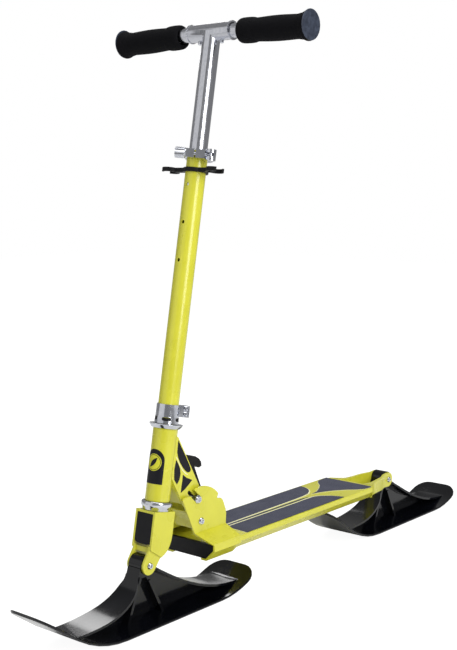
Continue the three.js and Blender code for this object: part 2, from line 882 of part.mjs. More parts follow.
// lever strip and hook corners as shares of the strip length, about the lock pin, y and z
const leverStripShares = [ [ 0.5, 0.24 ], [ 0.59, 0.23 ], [ 0.2, 1.12 ], [ 0, 1.1 ] ];
const leverHookShares = [ [ 0.14, 1.085 ], [ 0.34, 0.99 ], [ 0.44, 0.93 ], [ 0.5, 0.92 ], [ 0.61, 0.96 ], [ 0.59, 1.1 ],
	[ 0.48, 1.23 ], [ 0.3, 1.34 ], [ - 0.07, 1.42 ], [ - 0.1, 1.25 ], [ 0, 1.1 ] ];
const leverArmShares = [ [ 0.33, 0.6 ], [ 0.55, 0.25 ], [ 0.22, - 0.12 ], [ 0.06, - 0.17 ], [ - 0.02, - 0.13 ],
	[ - 0.02, 0.13 ], [ 0.1, 0.16 ] ];

function releaseLever() {

	const [ strip, hook, arm ] = [ leverStripShares, leverHookShares, leverArmShares ].map( ( shares ) => {

		return polygon( sharesOutline( shares, leverStripLength, lockY, lockZ ) );

	} );
	const armHalf = leverHalfWidth / 2;
	const body = join(
		sidePlate( strip, - leverHalfWidth, leverHalfWidth ),
		sidePlate( hook, - leverHalfWidth, leverHalfWidth ),
		sidePlate( arm, - armHalf, armHalf )
	);
	const way = sidePlate( lockWay( boltBore, lockTravel ), - deckHalfWidth, deckHalfWidth );
	return cut( body, way );

}

// Fork

function legOutline() {

	const shape = new THREE.Shape();
	shape.moveTo( - forkFrontDepth, crownTop );
	shape.lineTo( - forkFrontDepth, legFrontFoot );
	shape.lineTo( legFoldDepth, legFoldFoot );
	shape.lineTo( legHeelDepth, legHeelFoot );
	shape.quadraticCurveTo( forkRearDepth, legHeelFoot + forkWall * 3, forkRearDepth, crownTop - forkRearStraight );
	shape.lineTo( forkRearDepth, crownTop );
	shape.closePath();
	return shape;

}

function lugOutline() {

	const shape = new THREE.Shape();
	const rear = - forkOffset + lugRadius * Math.cos( lugRearAngle );
	shape.moveTo( legHeelDepth, legHeelFoot );
	shape.lineTo( legHeelDepth, legHeelFoot + lugOverlap );
	shape.lineTo( - forkFrontDepth, legFrontFoot + lugOverlap );
	shape.lineTo( - forkFrontDepth, legFrontFoot );
	shape.absarc( - forkOffset, axleUp, lugRadius, lugFrontAngle, 360 * degree + lugRearAngle );
	shape.lineTo( Math.max( rear, legFoldDepth ), legFoldFoot - lugOverlap / 2 );
	shape.closePath();
	return shape;

}

function fork() {

	const steerer = rodZ( steererRadius, crownTop - crownThickness / 2, crownTop + steererLength );
	const bore = rodZ( steererRadius - steererWall, crownTop - 2 * crownThickness, crownTop + steererLength + cutOverrun );
	const shell = sidePlate( legOutline(), - forkHalfWidth, forkHalfWidth );
	const innerHalf = forkHalfWidth - forkWall;
	const front = - forkFrontDepth - cutOverrun;
	const roof = crownTop - crownThickness;
	const rearWall = forkRearDepth - forkWall;
	const cavity = block( - innerHalf, innerHalf, front, rearWall, 0, roof );
	const rearOpening = block( - innerHalf, innerHalf, 0, 2 * forkRearDepth, 0, rearWallFoot );
	const faceDepth = plugDepth + fitGap - forkFrontDepth;
	const face = block( - innerHalf, innerHalf, front, faceDepth, 0, crownTop - crownLip );
	const lugs = [ - 1, 1 ].map( ( side ) => {

		const outer = side * lugHalfSpan;
		const inner = side * ( lugHalfSpan - lugWall );
		return sidePlate( lugOutline(), Math.min( outer, inner ), Math.max( outer, inner ) );

	} );
	const strapFront = strapInset - forkFrontDepth;
	const strapTop = legFrontFoot + lugOverlap / 2;
	const strap = block( - innerHalf - slotGap, innerHalf + slotGap, strapFront, strapFront + strapThickness,
		strapTop - strapHeight, strapTop );
	const body = join( cut( shell, cavity, rearOpening, face ), ...lugs, strap, steerer );
	return cut( body, bore, rodX( boltBore, - 2 * forkHalfWidth, 2 * forkHalfWidth, - forkOffset, axleUp ) );

}

function forkPlug() {

	const half = forkHalfWidth - forkWall - fitGap;
	const top = crownTop - crownLip - fitGap;
	const foot = top - plugHeight;
	const shape = new THREE.Shape();
	shape.moveTo( - half, top );
	shape.lineTo( - half, foot + plugCorner );
	shape.absarc( plugCorner - half, foot + plugCorner, plugCorner, 180 * degree, 270 * degree );
	shape.absarc( half - plugCorner, foot + plugCorner, plugCorner, 270 * degree, 360 * degree );
	shape.lineTo( half, top );
	shape.closePath();
	return crossBlock( shape, - forkFrontDepth, plugDepth - forkFrontDepth, 6 );

}

// Steering tube with its row of height holes in front

function steeringTube() {

	const tube = ring( steeringTubeRadius, steeringTubeBore, steeringTubeBase, steeringTubeTop );
	const holes = [];
	for ( let i = 0; i < heightHoleCount; i ++ ) {

		holes.push( rodY( heightHoleRadius, - 2 * steeringTubeRadius, 0, 0, topHole - i * heightHolePitch ) );

	}

	return cut( tube, ...holes );

}

// Clamps, built with the ears towards +x and then turned round the steering axis

const windowHeightShare = 0.6; // up the skirt
const socketShare = 0.8; // of a small bolt's radius

function lowerClamp() {

	const skirtOuter = clampRadius + lowerSkirtFlare;
	const skirtInner = headsetNutRadius + fitGap;
	const band = turned( [
		[ clampBore, lowerBandBase ],
		[ skirtInner, lowerBandBase ],
		[ skirtInner, lowerClampBase ],
		[ skirtOuter, lowerClampBase ],
		[ clampRadius, lowerBandBase ],
		[ clampRadius, lowerBandTop ],
		[ clampBore, lowerBandTop ]
	] );
	const earHalf = lowerEarThickness + clampSlit / 2;
	const middle = ( lowerBandBase + lowerBandTop ) / 2;
	const ears = cut(
		block( 0, lowerEarReach, - earHalf, earHalf, lowerBandBase, lowerBandTop ),
		rodZ( ( clampRadius + clampBore ) / 2, 0, lowerBandTop + cutOverrun )
	);
	const slit = block( 0, 2 * lowerEarReach, - clampSlit / 2, clampSlit / 2, lowerClampBase - cutOverrun,
		lowerBandTop + cutOverrun );
	const bores = [ - 1, 1 ].map( ( side ) => {

		const height = middle + side * lowerBoltSpacing / 2;
		return rodY( lowerBoltRadius + fitGap, - 2 * earHalf, 2 * earHalf, lowerBoltReach, height );

	} );
	const windows = [];
	for ( let i = 0; i < skirtWindowCount; i ++ ) {

		const half = ( skirtWindowWidth - skirtWindowHeight ) / 2;
		const height = lowerClampBase + lowerSkirtHeight * windowHeightShare;
		const oval = crossBlock( stadium( - half, height, half, height, skirtWindowHeight / 2 ), 0, 2 * clampRadius, 6 );
		windows.push( oval.rotateZ( skirtWindowTurn + i * 360 * degree / skirtWindowCount ) );

	}

	return cut( join( band, ears ), slit, ...bores, ...windows ).rotateZ( lowerClampTurn );

}

function lowerClampBolt( side ) {

	const earHalf = lowerEarThickness + clampSlit / 2;
	const height = ( lowerBandBase + lowerBandTop ) / 2 + side * lowerBoltSpacing / 2;
	const seat = - earHalf - fitGap;
	const head = rodY( lowerBoltHeadRadius, seat - lowerBoltHeadHeight, seat, lowerBoltReach, height, 12 );
	const shank = rodY( lowerBoltRadius, seat - lowerBoltHeadHeight / 2, earHalf, lowerBoltReach, height, 12 );
	const socketDepth = lowerBoltHeadHeight / 2;
	const socket = rodY( lowerBoltRadius * socketShare, seat - 2 * lowerBoltHeadHeight, seat - socketDepth, lowerBoltReach,
		height, 6 );
	return cut( join( head, shank ), socket ).rotateZ( lowerClampTurn );

}

const earRootShare = 0.7; // where the ears leave the band, of its radius

function upperClamp() {

	const top = steeringTubeTop;
	const band = ring( clampRadius, clampBore, upperClampBase, top );
	const ears = cut(
		block( 0, upperEarReach, - nutSideEar, leverSideEar, upperClampBase, top ),
		rodZ( ( clampRadius + clampBore ) / 2, 0, top + cutOverrun ),
		block( 0, clampRadius * earRootShare, - 2 * clampRadius, 2 * clampRadius, 0, top + cutOverrun )
	);
	const slit = block( 0, 2 * upperEarReach, - clampSlit / 2, clampSlit / 2, 0, top + cutOverrun );
	const middle = top - upperClampHeight / 2;
	const bore = rodY( skewerRadius + fitGap, - 2 * nutSideEar, 2 * nutSideEar, upperSkewerReach, middle );
	return cut( join( band, ears ), slit, bore ).rotateZ( upperClampTurn );

}

const skewerHeight = steeringTubeTop - upperClampHeight / 2;
const hubDepth = leverSideEar + fitGap + hubRadius;

function skewer() {

	const end = - nutSideEar - thumbNutCollar - thumbNutLength + fitGap;
	const rod = rodY( skewerRadius, end, hubDepth, upperSkewerReach, skewerHeight );
	const pinHalf = hubHeight / 2;
	const pin = rodZ( skewerRadius, skewerHeight - pinHalf, skewerHeight + pinHalf, coarseSides );
	pin.translate( upperSkewerReach, hubDepth, 0 );
	return join( rod, pin ).rotateZ( upperClampTurn );

}

const fluteShare = 0.07; // half the depth of a flute, of the nut's radius
const collarShare = 0.72;
const stepsPerFlute = 4;

function thumbNut() {

	const shape = new THREE.Shape();
	const steps = thumbNutFlutes * stepsPerFlute;
	for ( let i = 0; i < steps; i ++ ) {

		const angle = i * 360 * degree / steps;
		const radius = thumbNutRadius * ( 1 - fluteShare + fluteShare * Math.cos( angle * thumbNutFlutes ) );
		const x = upperSkewerReach + radius * Math.cos( angle );
		const z = skewerHeight + radius * Math.sin( angle );
		if ( i === 0 ) shape.moveTo( x, z );
		else shape.lineTo( x, z );

	}

	shape.closePath();
	const seat = - nutSideEar - fitGap;
	const knurlEnd = seat - thumbNutCollar - thumbNutLength;
	const knurl = crossBlock( shape, knurlEnd, seat - thumbNutCollar );
	const collar = rodY( thumbNutRadius * collarShare, seat - 2 * thumbNutCollar, seat, upperSkewerReach, skewerHeight );
	const bore = rodY( skewerRadius + fitGap, knurlEnd - cutOverrun, seat + cutOverrun, upperSkewerReach, skewerHeight );
	return cut( join( knurl, collar ), bore ).rotateZ( upperClampTurn );

}

// the quick-release lever: a barrel on the skewer's cross pin, slotted for the skewer, with a curved arm
function qrLever() {

	const barrel = rodZ( hubRadius, skewerHeight - hubHeight / 2, skewerHeight + hubHeight / 2 );
	barrel.translate( upperSkewerReach, hubDepth, 0 );
	const armInner = clampRadius + leverArmClearance;
	const startAngle = Math.atan2( hubDepth, upperSkewerReach ) + leverNeckTurn;
	const endAngle = startAngle + leverArmSweep;
	const arc = new THREE.Shape();
	arc.absarc( 0, 0, armInner + leverBand, startAngle, endAngle );
	arc.absarc( 0, 0, armInner, endAngle, startAngle, true );
	arc.closePath();
	const armLow = skewerHeight - leverArmHeight / 2;
	const armHigh = skewerHeight + leverArmHeight / 2;
	const armMiddle = armInner + leverBand / 2;
	const neck = stadium( upperSkewerReach, hubDepth, armMiddle * Math.cos( startAngle ),
		armMiddle * Math.sin( startAngle ), leverBand / 2 );
	const arm = join( layer( arc, armLow, armHigh, 16 ), layer( neck, armLow, armHigh, 6 ) );
	const pinRoom = rodZ( skewerRadius + fitGap, 0, 2 * skewerHeight, coarseSides );
	pinRoom.translate( upperSkewerReach, hubDepth, 0 );
	// the skewer leaves towards -y; the slot lets the barrel turn round it
	const slotStart = - 90 * degree;
	const slotEnd = slotStart + leverOpening;
	const reach = 2 * hubRadius;
	const sector = wedge( upperSkewerReach, hubDepth, reach, slotStart, slotEnd );
	const slotShapes = [ slotStart, slotEnd ].map( ( angle ) => {

		const endX = upperSkewerReach + reach * Math.cos( angle );
		const endY = hubDepth + reach * Math.sin( angle );
		return stadium( upperSkewerReach, hubDepth, endX, endY, skewerRadius + fitGap );

	} );
	const slots = [ sector, ...slotShapes ].map( ( shape ) => {

		return layer( shape, skewerHeight - hubSlotHeight / 2, skewerHeight + hubSlotHeight / 2, 12 );

	} );
	return cut( join( barrel, arm ), pinRoom, ...slots ).rotateZ( upperClampTurn );

}

// Holder clip: a ring on the steering tube with a C clip at each side for the pulled-out handlebars

function holderClip() {

	const top = steeringTubeTop - holderDrop;
	const base = top - holderThickness;
	const centreY = - holderClipForward;
	const outerRadius = holderClipRadius + holderClipWall;
	const body = rodZ( holderRingRadius, base, top );
	const arms = [];
	const cuts = [ rodZ( clampBore, base - cutOverrun, top + cutOverrun ) ];
	for ( const side of [ - 1, 1 ] ) {

		const x = side * holderClipSpan;
		const clip = rodZ( outerRadius, base, top ).translate( x, centreY, 0 );
		const from = Math.min( 0, x );
		const to = Math.max( 0, x );
		const armHalf = holderArmWidth / 2;
		const bridge = block( from, to, centreY - armHalf, centreY + armHalf, base, top );
		arms.push( clip, bridge );
		cuts.push( rodZ( holderClipRadius, base - cutOverrun, top + cutOverrun ).translate( x, centreY, 0 ) );
		const facing = side > 0 ? 0 : 180 * degree;
		const half = holderClipMouth / 2;
		const mouth = wedge( x, centreY, outerRadius * 2, facing - half, facing + half );
		cuts.push( layer( mouth, base - cutOverrun, top + cutOverrun, 6 ) );

	}

	return cut( join( body, ...arms ), ...cuts );

}

// T-bar: the stem tube and the cross sleeve, brazed together

function tBar() {

	const stem = rodZ( stemRadius, stemBase, barHeight );
	const sleeve = rodX( sleeveRadius, - sleeveHalfLength, sleeveHalfLength, 0, barHeight, fineSides );
	const rims = [ - 1, 1 ].map( ( side ) => {

		const outer = side * sleeveHalfLength;
		const inner = side * ( sleeveHalfLength - sleeveRimWidth );
		return rodX( sleeveRimRadius, Math.min( outer, inner ), Math.max( outer, inner ), 0, barHeight, fineSides );

	} );
	const stemBore = rodZ( stemRadius - stemWall, stemBase - cutOverrun, barHeight );
	const barRoom = rodX( sleeveBore, - 2 * sleeveHalfLength, 2 * sleeveHalfLength, 0, barHeight, fineSides );
	const buttonHoles = [ - 1, 1 ].map( ( side ) => {

		const hole = rodZ( buttonRadius + fitGap, barHeight - 2 * sleeveRadius, barHeight, coarseSides );
		return hole.translate( side * buttonReach, 0, 0 );

	} );
	const heightHole = rodY( heightButtonRadius + fitGap, - 2 * stemRadius, 0, 0, topHole );
	return cut( join( stem, sleeve, ...rims ), stemBore, barRoom, ...buttonHoles, heightHole );

}

// the height button stands in the stem's hole, just short of the steering tube
function heightButton() {

	const tip = fitGap - steeringTubeBore;
	return rodY( heightButtonRadius, tip, tip + heightButtonLength, 0, topHole );

}

const domeRiseShare = 0.3;
const domeTopShare = 0.7;

// a domed button in the underside of the sleeve
function barButton( side ) {

	const inner = barRadius + buttonTravel + fitGap;
	const outer = sleeveRadius + buttonProud;
	const button = turned( [
		[ 0, barHeight - inner ],
		[ buttonRadius, barHeight - inner ],
		[ buttonRadius, barHeight - outer + buttonRadius * domeRiseShare ],
		[ buttonRadius * domeTopShare, barHeight - outer ],
		[ 0, barHeight - outer ]
	], coarseSides );
	return button.translate( side * buttonReach, 0, 0 );

}

// Handlebar halves, made for the +x side

// a piece of the +x half, turned down about the snap button's place
function drooped( geometry ) {

	return geometry.translate( - buttonReach, 0, - barHeight ).rotateY( barDroop ).translate( buttonReach, 0, barHeight );

}

function barStub() {

	const tube = rodX( barRadius, barInnerEnd, barOuterEnd, 0, barHeight, gripSides );
	const bore = rodX( barRadius - barWall, 0, barOuterEnd + cutOverrun, 0, barHeight, gripSides );
	const hole = rodZ( buttonRadius + fitGap, barHeight - 2 * barRadius, barHeight, coarseSides );
	return drooped( cut( tube, bore, hole.translate( buttonReach, 0, 0 ) ) );

}

// radius against length of the foam: collar, neck, bulge, neck, ring and end flange
const gripLengthShares = [ 0, 0.015, 0.05, 0.12, 0.19, 0.215, 0.24, 0.32, 0.43, 0.55, 0.68, 0.82, 0.855, 0.875, 0.92, 0.945,
	0.97, 1 ];
const gripSwellShares = [ 0.3, 0.75, 0.95, 1, 0.95, 0.7, 0.1, 0.3, 0.65, 0.8, 0.65, 0.35, 0.35, 0.9, 0.95, 1.4, 2.28, 2.28 ];

function grip() {

	const length = gripOuterEnd - gripInnerEnd;
	const swell = gripBulgeRadius - gripNeckRadius;
	const flangeSwellShare = ( gripFlangeRadius - gripNeckRadius ) / swell;
	const outline = gripLengthShares.map( ( share, i ) => {

		const swellShare = Math.min( gripSwellShares[ i ], flangeSwellShare );
		return [ gripNeckRadius + swell * swellShare, gripInnerEnd + length * share ];

	} );
	const bore = barRadius + fitGap;
	const profile = [ [ bore, gripInnerEnd ], ...outline, [ bore, gripOuterEnd ] ];
	return drooped( turned( profile, gripSides ).rotateY( 90 * degree ).translate( 0, 0, barHeight ) );

}

const capRimShare = 0.6;
const capFaceShare = 0.94;

function endCap() {

	const face = gripOuterEnd + fitGap;
	const plugRadius = barRadius - barWall - fitGap;
	const profile = [
		[ 0, barOuterEnd - capPlugLength ],
		[ plugRadius, barOuterEnd - capPlugLength ],
		[ plugRadius, face ],
		[ capRadius, face ],
		[ capRadius, face + capThickness * capRimShare ],
		[ capRadius * capFaceShare, face + capThickness ],
		[ 0, face + capThickness ]
	];
	return drooped( turned( profile, gripSides ).rotateY( 90 * degree ).translate( 0, 0, barHeight ) );

}

// Skis

function endAt( y ) {

	return y > 0 ? tailEnd : tipEnd;

}

// height of the sole above the ground at a distance behind the axle
function soleHeight( y ) {

	const { curveStart, curveRadius, arcRun } = endAt( y );
	const run = Math.max( Math.abs( y ) - curveStart, 0 );
	const arc = Math.min( run, arcRun );
	const drop = Math.sqrt( curveRadius ** 2 - arc ** 2 );
	const rampSlope = arc / drop;
	return curveRadius - drop + ( run - arc ) * rampSlope;

}

function skiHalfWidthAt( y ) {

	const { length, cornerRadius } = endAt( y );
	const left = Math.min( length - Math.abs( y ), cornerRadius );
	return skiHalfWidth - cornerRadius + Math.sqrt( cornerRadius ** 2 - ( cornerRadius - left ) ** 2 );

}

// stations along the ski, as shares of the tip, flat and tail stretches
const tipStationShares = [ 0, 0.008, 0.03, 0.07, 0.13, 0.2, 0.28, 0.38, 0.5, 0.62, 0.74, 0.86, 1 ];
const tailStationShares = [ 0, 0.2, 0.38, 0.54, 0.68, 0.78, 0.86, 0.92, 0.96, 0.985, 1 ];

const crownBrowShare = 0.75;
const slopeStep = 0.5; // along the ski, either side of where the sole's slope is taken

function skiBase() {

	const rings = [];
	const stations = [
		...tipStationShares.map( ( share ) => - tipEnd.length + share * ( tipEnd.length - tipEnd.curveStart ) ),
		...tailStationShares.map( ( share ) => tailEnd.curveStart + share * ( tailEnd.length - tailEnd.curveStart ) )
	];
	for ( const y of stations ) {

		const half = skiHalfWidthAt( y );
		const sole = soleHeight( y );
		const slope = ( soleHeight( y + slopeStep ) - soleHeight( y - slopeStep ) ) / ( 2 * slopeStep );
		const thickness = skiThickness * Math.hypot( 1, slope );
		const { length, curveStart } = endAt( y );
		const crown = thickness + skiCrown * ( length - Math.abs( y ) ) / ( length - curveStart );
		const edge = Math.min( skiThickness / 3, half / 2 );
		const inner = Math.min( skiCrownHalfWidth, half / 2 );
		const shoulder = ( half + inner ) / 2;
		const brow = sole + THREE.MathUtils.lerp( thickness, crown, crownBrowShare );
		rings.push( [
			[ - half + edge, y, sole ], [ half - edge, y, sole ],
			[ half, y, sole + edge ], [ half, y, sole + thickness - edge ],
			[ half - edge, y, sole + thickness ], [ shoulder, y, sole + thickness ],
			[ inner, y, brow ], [ 0, y, sole + crown ],
			[ - inner, y, brow ], [ - shoulder, y, sole + thickness ],
			[ - half + edge, y, sole + thickness ],
			[ - half, y, sole + thickness - edge ], [ - half, y, sole + edge ]
		] );

	}

	return loft( rings );

}

// the sweep of the pylon's flange, from beside the boss to the ski, as shares of its run and of its rise
const frontSweepShares = [ [ 0, 1 ], [ 0.08, 0.26 ], [ 0.36, - 0.02 ], [ 1, 0 ] ];
const rearSweepShares = [ [ 0, 1 ], [ 0.18, 0.66 ], [ 0.52, - 0.08 ], [ 1, 0 ] ];
const frontSweepRun = 139.5;
const rearSweepRun = 204;
const frontSweepStart = 16;
const rearSweepStart = 6.5;
const frontSweepFoot = 25;
const rearSweepFoot = 15.5;
const frontSweepTop = 84;
const rearSweepTop = 86;
const sweepSteps = 12;

function sweepPoints( shares, side, start, run, foot, top ) {

	const points = shares.map( ( [ along, up ] ) => {

		return new THREE.Vector2( side * ( start + along * run ), foot + up * ( top - foot ) );

	} );
	return new THREE.CubicBezierCurve( ...points ).getPoints( sweepSteps );

}

const frontSweep = sweepPoints( frontSweepShares, - 1, frontSweepStart, frontSweepRun, frontSweepFoot, frontSweepTop );
const rearSweep = sweepPoints( rearSweepShares, 1, rearSweepStart, rearSweepRun, rearSweepFoot, rearSweepTop );

// where the flange starts to flare and where it reaches its full width, along its steps
const flareStartShare = 0.16;
const flareEndShare = 0.75;

function ribbon( points ) {

	const last = points.length - 1;
	return loft( points.map( ( point, i ) => {

		const before = points[ Math.max( i - 1, 0 ) ];
		const after = points[ Math.min( i + 1, last ) ];
		const along = after.clone().sub( before ).normalize();
		const sign = along.x > 0 ? 1 : - 1;
		const downY = along.y * sign * ribbonThickness;
		const downZ = - along.x * sign * ribbonThickness;
		// narrow between the lugs, then flaring
		const flare = ( i / last - flareStartShare ) / ( flareEndShare - flareStartShare );
		const share = Math.sqrt( THREE.MathUtils.clamp( flare, 0, 1 ) );
		const half = ribbonTopHalfWidth + ( ribbonFootHalfWidth - ribbonTopHalfWidth ) * share;
		return [
			[ - half, point.x, point.y ], [ half, point.x, point.y ],
			[ half, point.x + downY, point.y + downZ ], [ - half, point.x + downY, point.y + downZ ]
		];

	} ) );

}

// pylon ribs at each side of the web, as shares of the axle height, y and z about the axle's foot
const skiRibShares = [
	[ [ - 0.16, 0.92 ], [ - 0.51, 0.07 ] ],
	[ [ - 0.07, 0.92 ], [ 0.36, 0.07 ] ]
];

function skiPylon() {

	const webLine = [ ...frontSweep ].reverse().concat( rearSweep );
	const web = new THREE.Shape();
	const firstPoint = webLine[ 0 ];
	const lastPoint = webLine[ webLine.length - 1 ];
	web.moveTo( firstPoint.x, firstPoint.y - ribbonThickness / 2 );
	for ( const point of webLine.slice( 1, - 1 ) ) web.lineTo( point.x, point.y - ribbonThickness / 2 );
	web.lineTo( lastPoint.x, lastPoint.y - ribbonThickness / 2 );
	web.lineTo( tailEnd.curveStart, skiThickness / 2 );
	web.lineTo( - tipEnd.curveStart, skiThickness / 2 );
	web.closePath();
	const half = pylonWebThickness / 2;
	const ribs = skiRibShares.map( ( [ top, foot ] ) => {

		const shape = stadium( top[ 0 ] * axleHeight, top[ 1 ] * axleHeight, foot[ 0 ] * axleHeight,
			foot[ 1 ] * axleHeight, ribThickness / 2 );
		return sidePlate( shape, - skiRibHalfWidth, skiRibHalfWidth, 4 );

	} );
	const boss = rodX( pylonBossRadius, - pylonBossHalfWidth, pylonBossHalfWidth, 0, axleHeight, fineSides );
	const neckHalf = ribbonTopHalfWidth;
	const neckFoot = frontSweepTop - pylonBossRadius;
	const neck = sidePlate( polygon( [
		[ - frontSweepStart, frontSweepTop ],
		[ rearSweepStart, rearSweepTop ],
		[ rearSweepStart + ribThickness, neckFoot ],
		[ - frontSweepStart - ribThickness, neckFoot ]
	] ), - neckHalf, neckHalf );
	const trimmed = common( neck, sidePlate( web, - 2 * neckHalf, 2 * neckHalf ) );
	return join( sidePlate( web, - half, half ), ribbon( frontSweep ), ribbon( rearSweep ), ...ribs, boss, trimmed );

}

function ski() {

	const floor = block( - skiHalfWidth * 2, skiHalfWidth * 2, - skiTipLength * 2, skiTailLength * 2, - axleHeight, 0 );
	const bore = rodX( skiBossBore, - 2 * pylonBossHalfWidth, 2 * pylonBossHalfWidth, 0, axleHeight );
	const cheeks = [ - 1, 1 ].map( ( side ) => {

		const near = side * pylonBossHalfWidth;
		const far = side * ( lugHalfSpan + cutOverrun );
		return rodX( cheekRadius, Math.min( near, far ), Math.max( near, far ), 0, axleHeight, fineSides );

	} );
	return cut( join( skiBase(), skiPylon() ), floor, bore, ...cheeks );

}

function skiBush( halfLength, y ) {

	const outer = rodX( bushRadius, - halfLength, halfLength, y, axleHeight );
	return cut( outer, rodX( boltBore, - 2 * halfLength, 2 * halfLength, y, axleHeight ) );

}

// Cross bolts along x: the socket head stands outside the +x face and the nut outside the -x face

const headRimShare = 0.3;
const headFaceShare = 0.72;

function crossBolt( halfSpan, y, z ) {

	const seat = halfSpan + fitGap;
	const head = turned( [
		[ 0, 0 ],
		[ boltHeadRadius, 0 ],
		[ boltHeadRadius, boltHeadHeight * headRimShare ],
		[ boltHeadRadius * headFaceShare, boltHeadHeight ],
		[ 0, boltHeadHeight ]
	], coarseSides ).rotateY( 90 * degree ).translate( seat, y, z );
	const shank = rodX( boltRadius, - seat - nutHeight + fitGap, seat + boltHeadHeight / 4, y, z );
	const socketFloor = seat + boltHeadHeight - boltSocketDepth;
	const socket = rodX( boltSocketRadius, socketFloor, seat + boltHeadHeight + cutOverrun, y, z, 6 );
	return cut( join( head, shank ), socket );

}

function crossNut( halfSpan, y, z ) {

	const seat = - halfSpan - fitGap;
	const body = rodX( nutRadius, seat - nutHeight, seat, y, z, 6 );
	return cut( body, rodX( boltBore, seat - nutHeight - cutOverrun, seat + cutOverrun, y, z ) );

}

// Assembly: deck

addPiece( 'deck_platform', deckPlatform(), paint );
addPiece( 'grip_panel_left', gripPanel( nearPanelShares ), panelGrey );
addPiece( 'grip_panel_right', gripPanel( farPanelShares ), panelGrey );
addPiece( 'grip_panel_rear', gripPanel( rearPanelShares ), panelGrey );
addPiece( 'front_bumper', frontBumper(), mattBlack );
addPiece( 'rear_arm_left', rearArm(), paint );
addPiece( 'rear_arm_right', mirrored( rearArm() ), paint );
addPiece( 'hinge_plate_left', hingePlate(), paint );
addPiece( 'hinge_plate_right', mirrored( hingePlate() ), paint );
addPiece( 'pivot_bolt', crossBolt( hingeHalfSpan, pivotY, pivotZ ), zinc );
addPiece( 'pivot_nut', crossNut( hingeHalfSpan, pivotY, pivotZ ), zinc );
addPiece( 'rear_axle_bolt', crossBolt( lugHalfSpan, rearAxleY, axleHeight ), zinc );
addPiece( 'rear_axle_nut', crossNut( lugHalfSpan, rearAxleY, axleHeight ), zinc );

// Assembly: rear ski

addPiece( 'rear_ski', ski().translate( 0, rearAxleY, 0 ), glossBlack );
addPiece( 'rear_ski_bush', skiBush( lugInnerSpan - fitGap, rearAxleY ), nylonWhite );

// Assembly: lock pin

const lockBushStart = gussetHalfSpan + fitGap;
const lockBush = cut(
	rodX( lockBushRadius, lockBushStart, hingeHalfSpan, lockY, lockZ ),
	rodX( boltBore, 0, 2 * hingeHalfSpan, lockY, lockZ )
);
addPiece( 'lock_bolt', crossBolt( hingeHalfSpan, lockY, lockZ ), zinc );
addPiece( 'lock_nut', crossNut( hingeHalfSpan, lockY, lockZ ), zinc );
addPiece( 'lock_bush_left', lockBush, darkSteel );
addPiece( 'lock_bush_right', mirrored( lockBush ), darkSteel );

// Assembly: head

const pivotSleeveHalf = hingeHalfSpan - hingeThickness - fitGap;
const pivotSleeve = cut(
	rodX( sleeveOuterRadius, - pivotSleeveHalf, pivotSleeveHalf, pivotY, pivotZ ),
	rodX( boltBore, - 2 * pivotSleeveHalf, 2 * pivotSleeveHalf, pivotY, pivotZ )
);
const bearingFloor = headTubeEnd + cupLip / 2 + fitGap / 2;
const raceTop = crownTop + fitGap + crownRaceHeight;
addPiece( 'head_tube', headTube(), paint, steering );
addPiece( 'gusset_left', gusset(), paint );
addPiece( 'gusset_right', mirrored( gusset() ), paint );
addPiece( 'pivot_sleeve', pivotSleeve, darkSteel );
addPiece( 'upper_cup', upperCup(), zinc, steering );
addPiece( 'lower_cup', lowerCup(), zinc, steering );
addPiece( 'upper_bearing', ring( bearingRadius, steererBore, bearingFloor, bearingFloor + bearingHeight ),
	bearingSteel, steering );
addPiece( 'lower_bearing', ring( bearingRadius, steererBore, raceTop + fitGap, raceTop + fitGap + bearingHeight ),
	bearingSteel, steering );
addPiece( 'release_lever', releaseLever(), mattBlack );

// Assembly: steering column

addPiece( 'fork', fork(), paint, steering );
addPiece( 'fork_plug', forkPlug(), mattBlack, steering );
addPiece( 'crown_race', ring( bearingRadius, steererBore, crownTop + fitGap, raceTop ), bearingSteel, steering );
addPiece( 'headset_nut', ring( headsetNutRadius, steererBore, headsetNutBase, headsetNutTop ), darkSteel, steering );
addPiece( 'steering_tube', steeringTube(), paint, steering );
addPiece( 'lower_clamp', lowerClamp(), zinc, steering );
addPiece( 'lower_clamp_bolt_upper', lowerClampBolt( 1 ), zinc, steering );
addPiece( 'lower_clamp_bolt_lower', lowerClampBolt( - 1 ), zinc, steering );
addPiece( 'holder_clip', holderClip(), mattBlack, steering );
addPiece( 'upper_clamp', upperClamp(), zinc, steering );
addPiece( 'skewer', skewer(), zinc, steering );
addPiece( 'thumb_nut', thumbNut(), zinc, steering );
addPiece( 'qr_lever', qrLever(), zinc, steering );
addPiece( 'front_axle_bolt', crossBolt( lugHalfSpan, - forkOffset, axleUp ), zinc, steering );
addPiece( 'front_axle_nut', crossNut( lugHalfSpan, - forkOffset, axleUp ), zinc, steering );

// Assembly: T-bar and handlebars

addPiece( 't_bar', tBar(), alloy, steering );
addPiece( 'height_button', heightButton(), zinc, steering );
addPiece( 'bar_button_left', barButton( 1 ), zinc, steering );
addPiece( 'bar_button_right', barButton( - 1 ), zinc, steering );
addPiece( 'bar_stub_left', barStub(), alloy, steering );
addPiece( 'bar_stub_right', mirrored( barStub() ), alloy, steering );
addPiece( 'grip_left', grip(), foamBlack, steering );
addPiece( 'grip_right', mirrored( grip() ), foamBlack, steering );
addPiece( 'end_cap_left', endCap(), capGrey, steering );
addPiece( 'end_cap_right', mirrored( endCap() ), capGrey, steering );

// Assembly: front ski

addPiece( 'front_ski', ski().translate( 0, frontAxleY, 0 ), glossBlack );
addPiece( 'front_ski_bush', skiBush( lugInnerSpan - fitGap, frontAxleY ), nylonWhite );

export default model;
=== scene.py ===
import bpy
import json
import math
from mathutils import Vector, Matrix


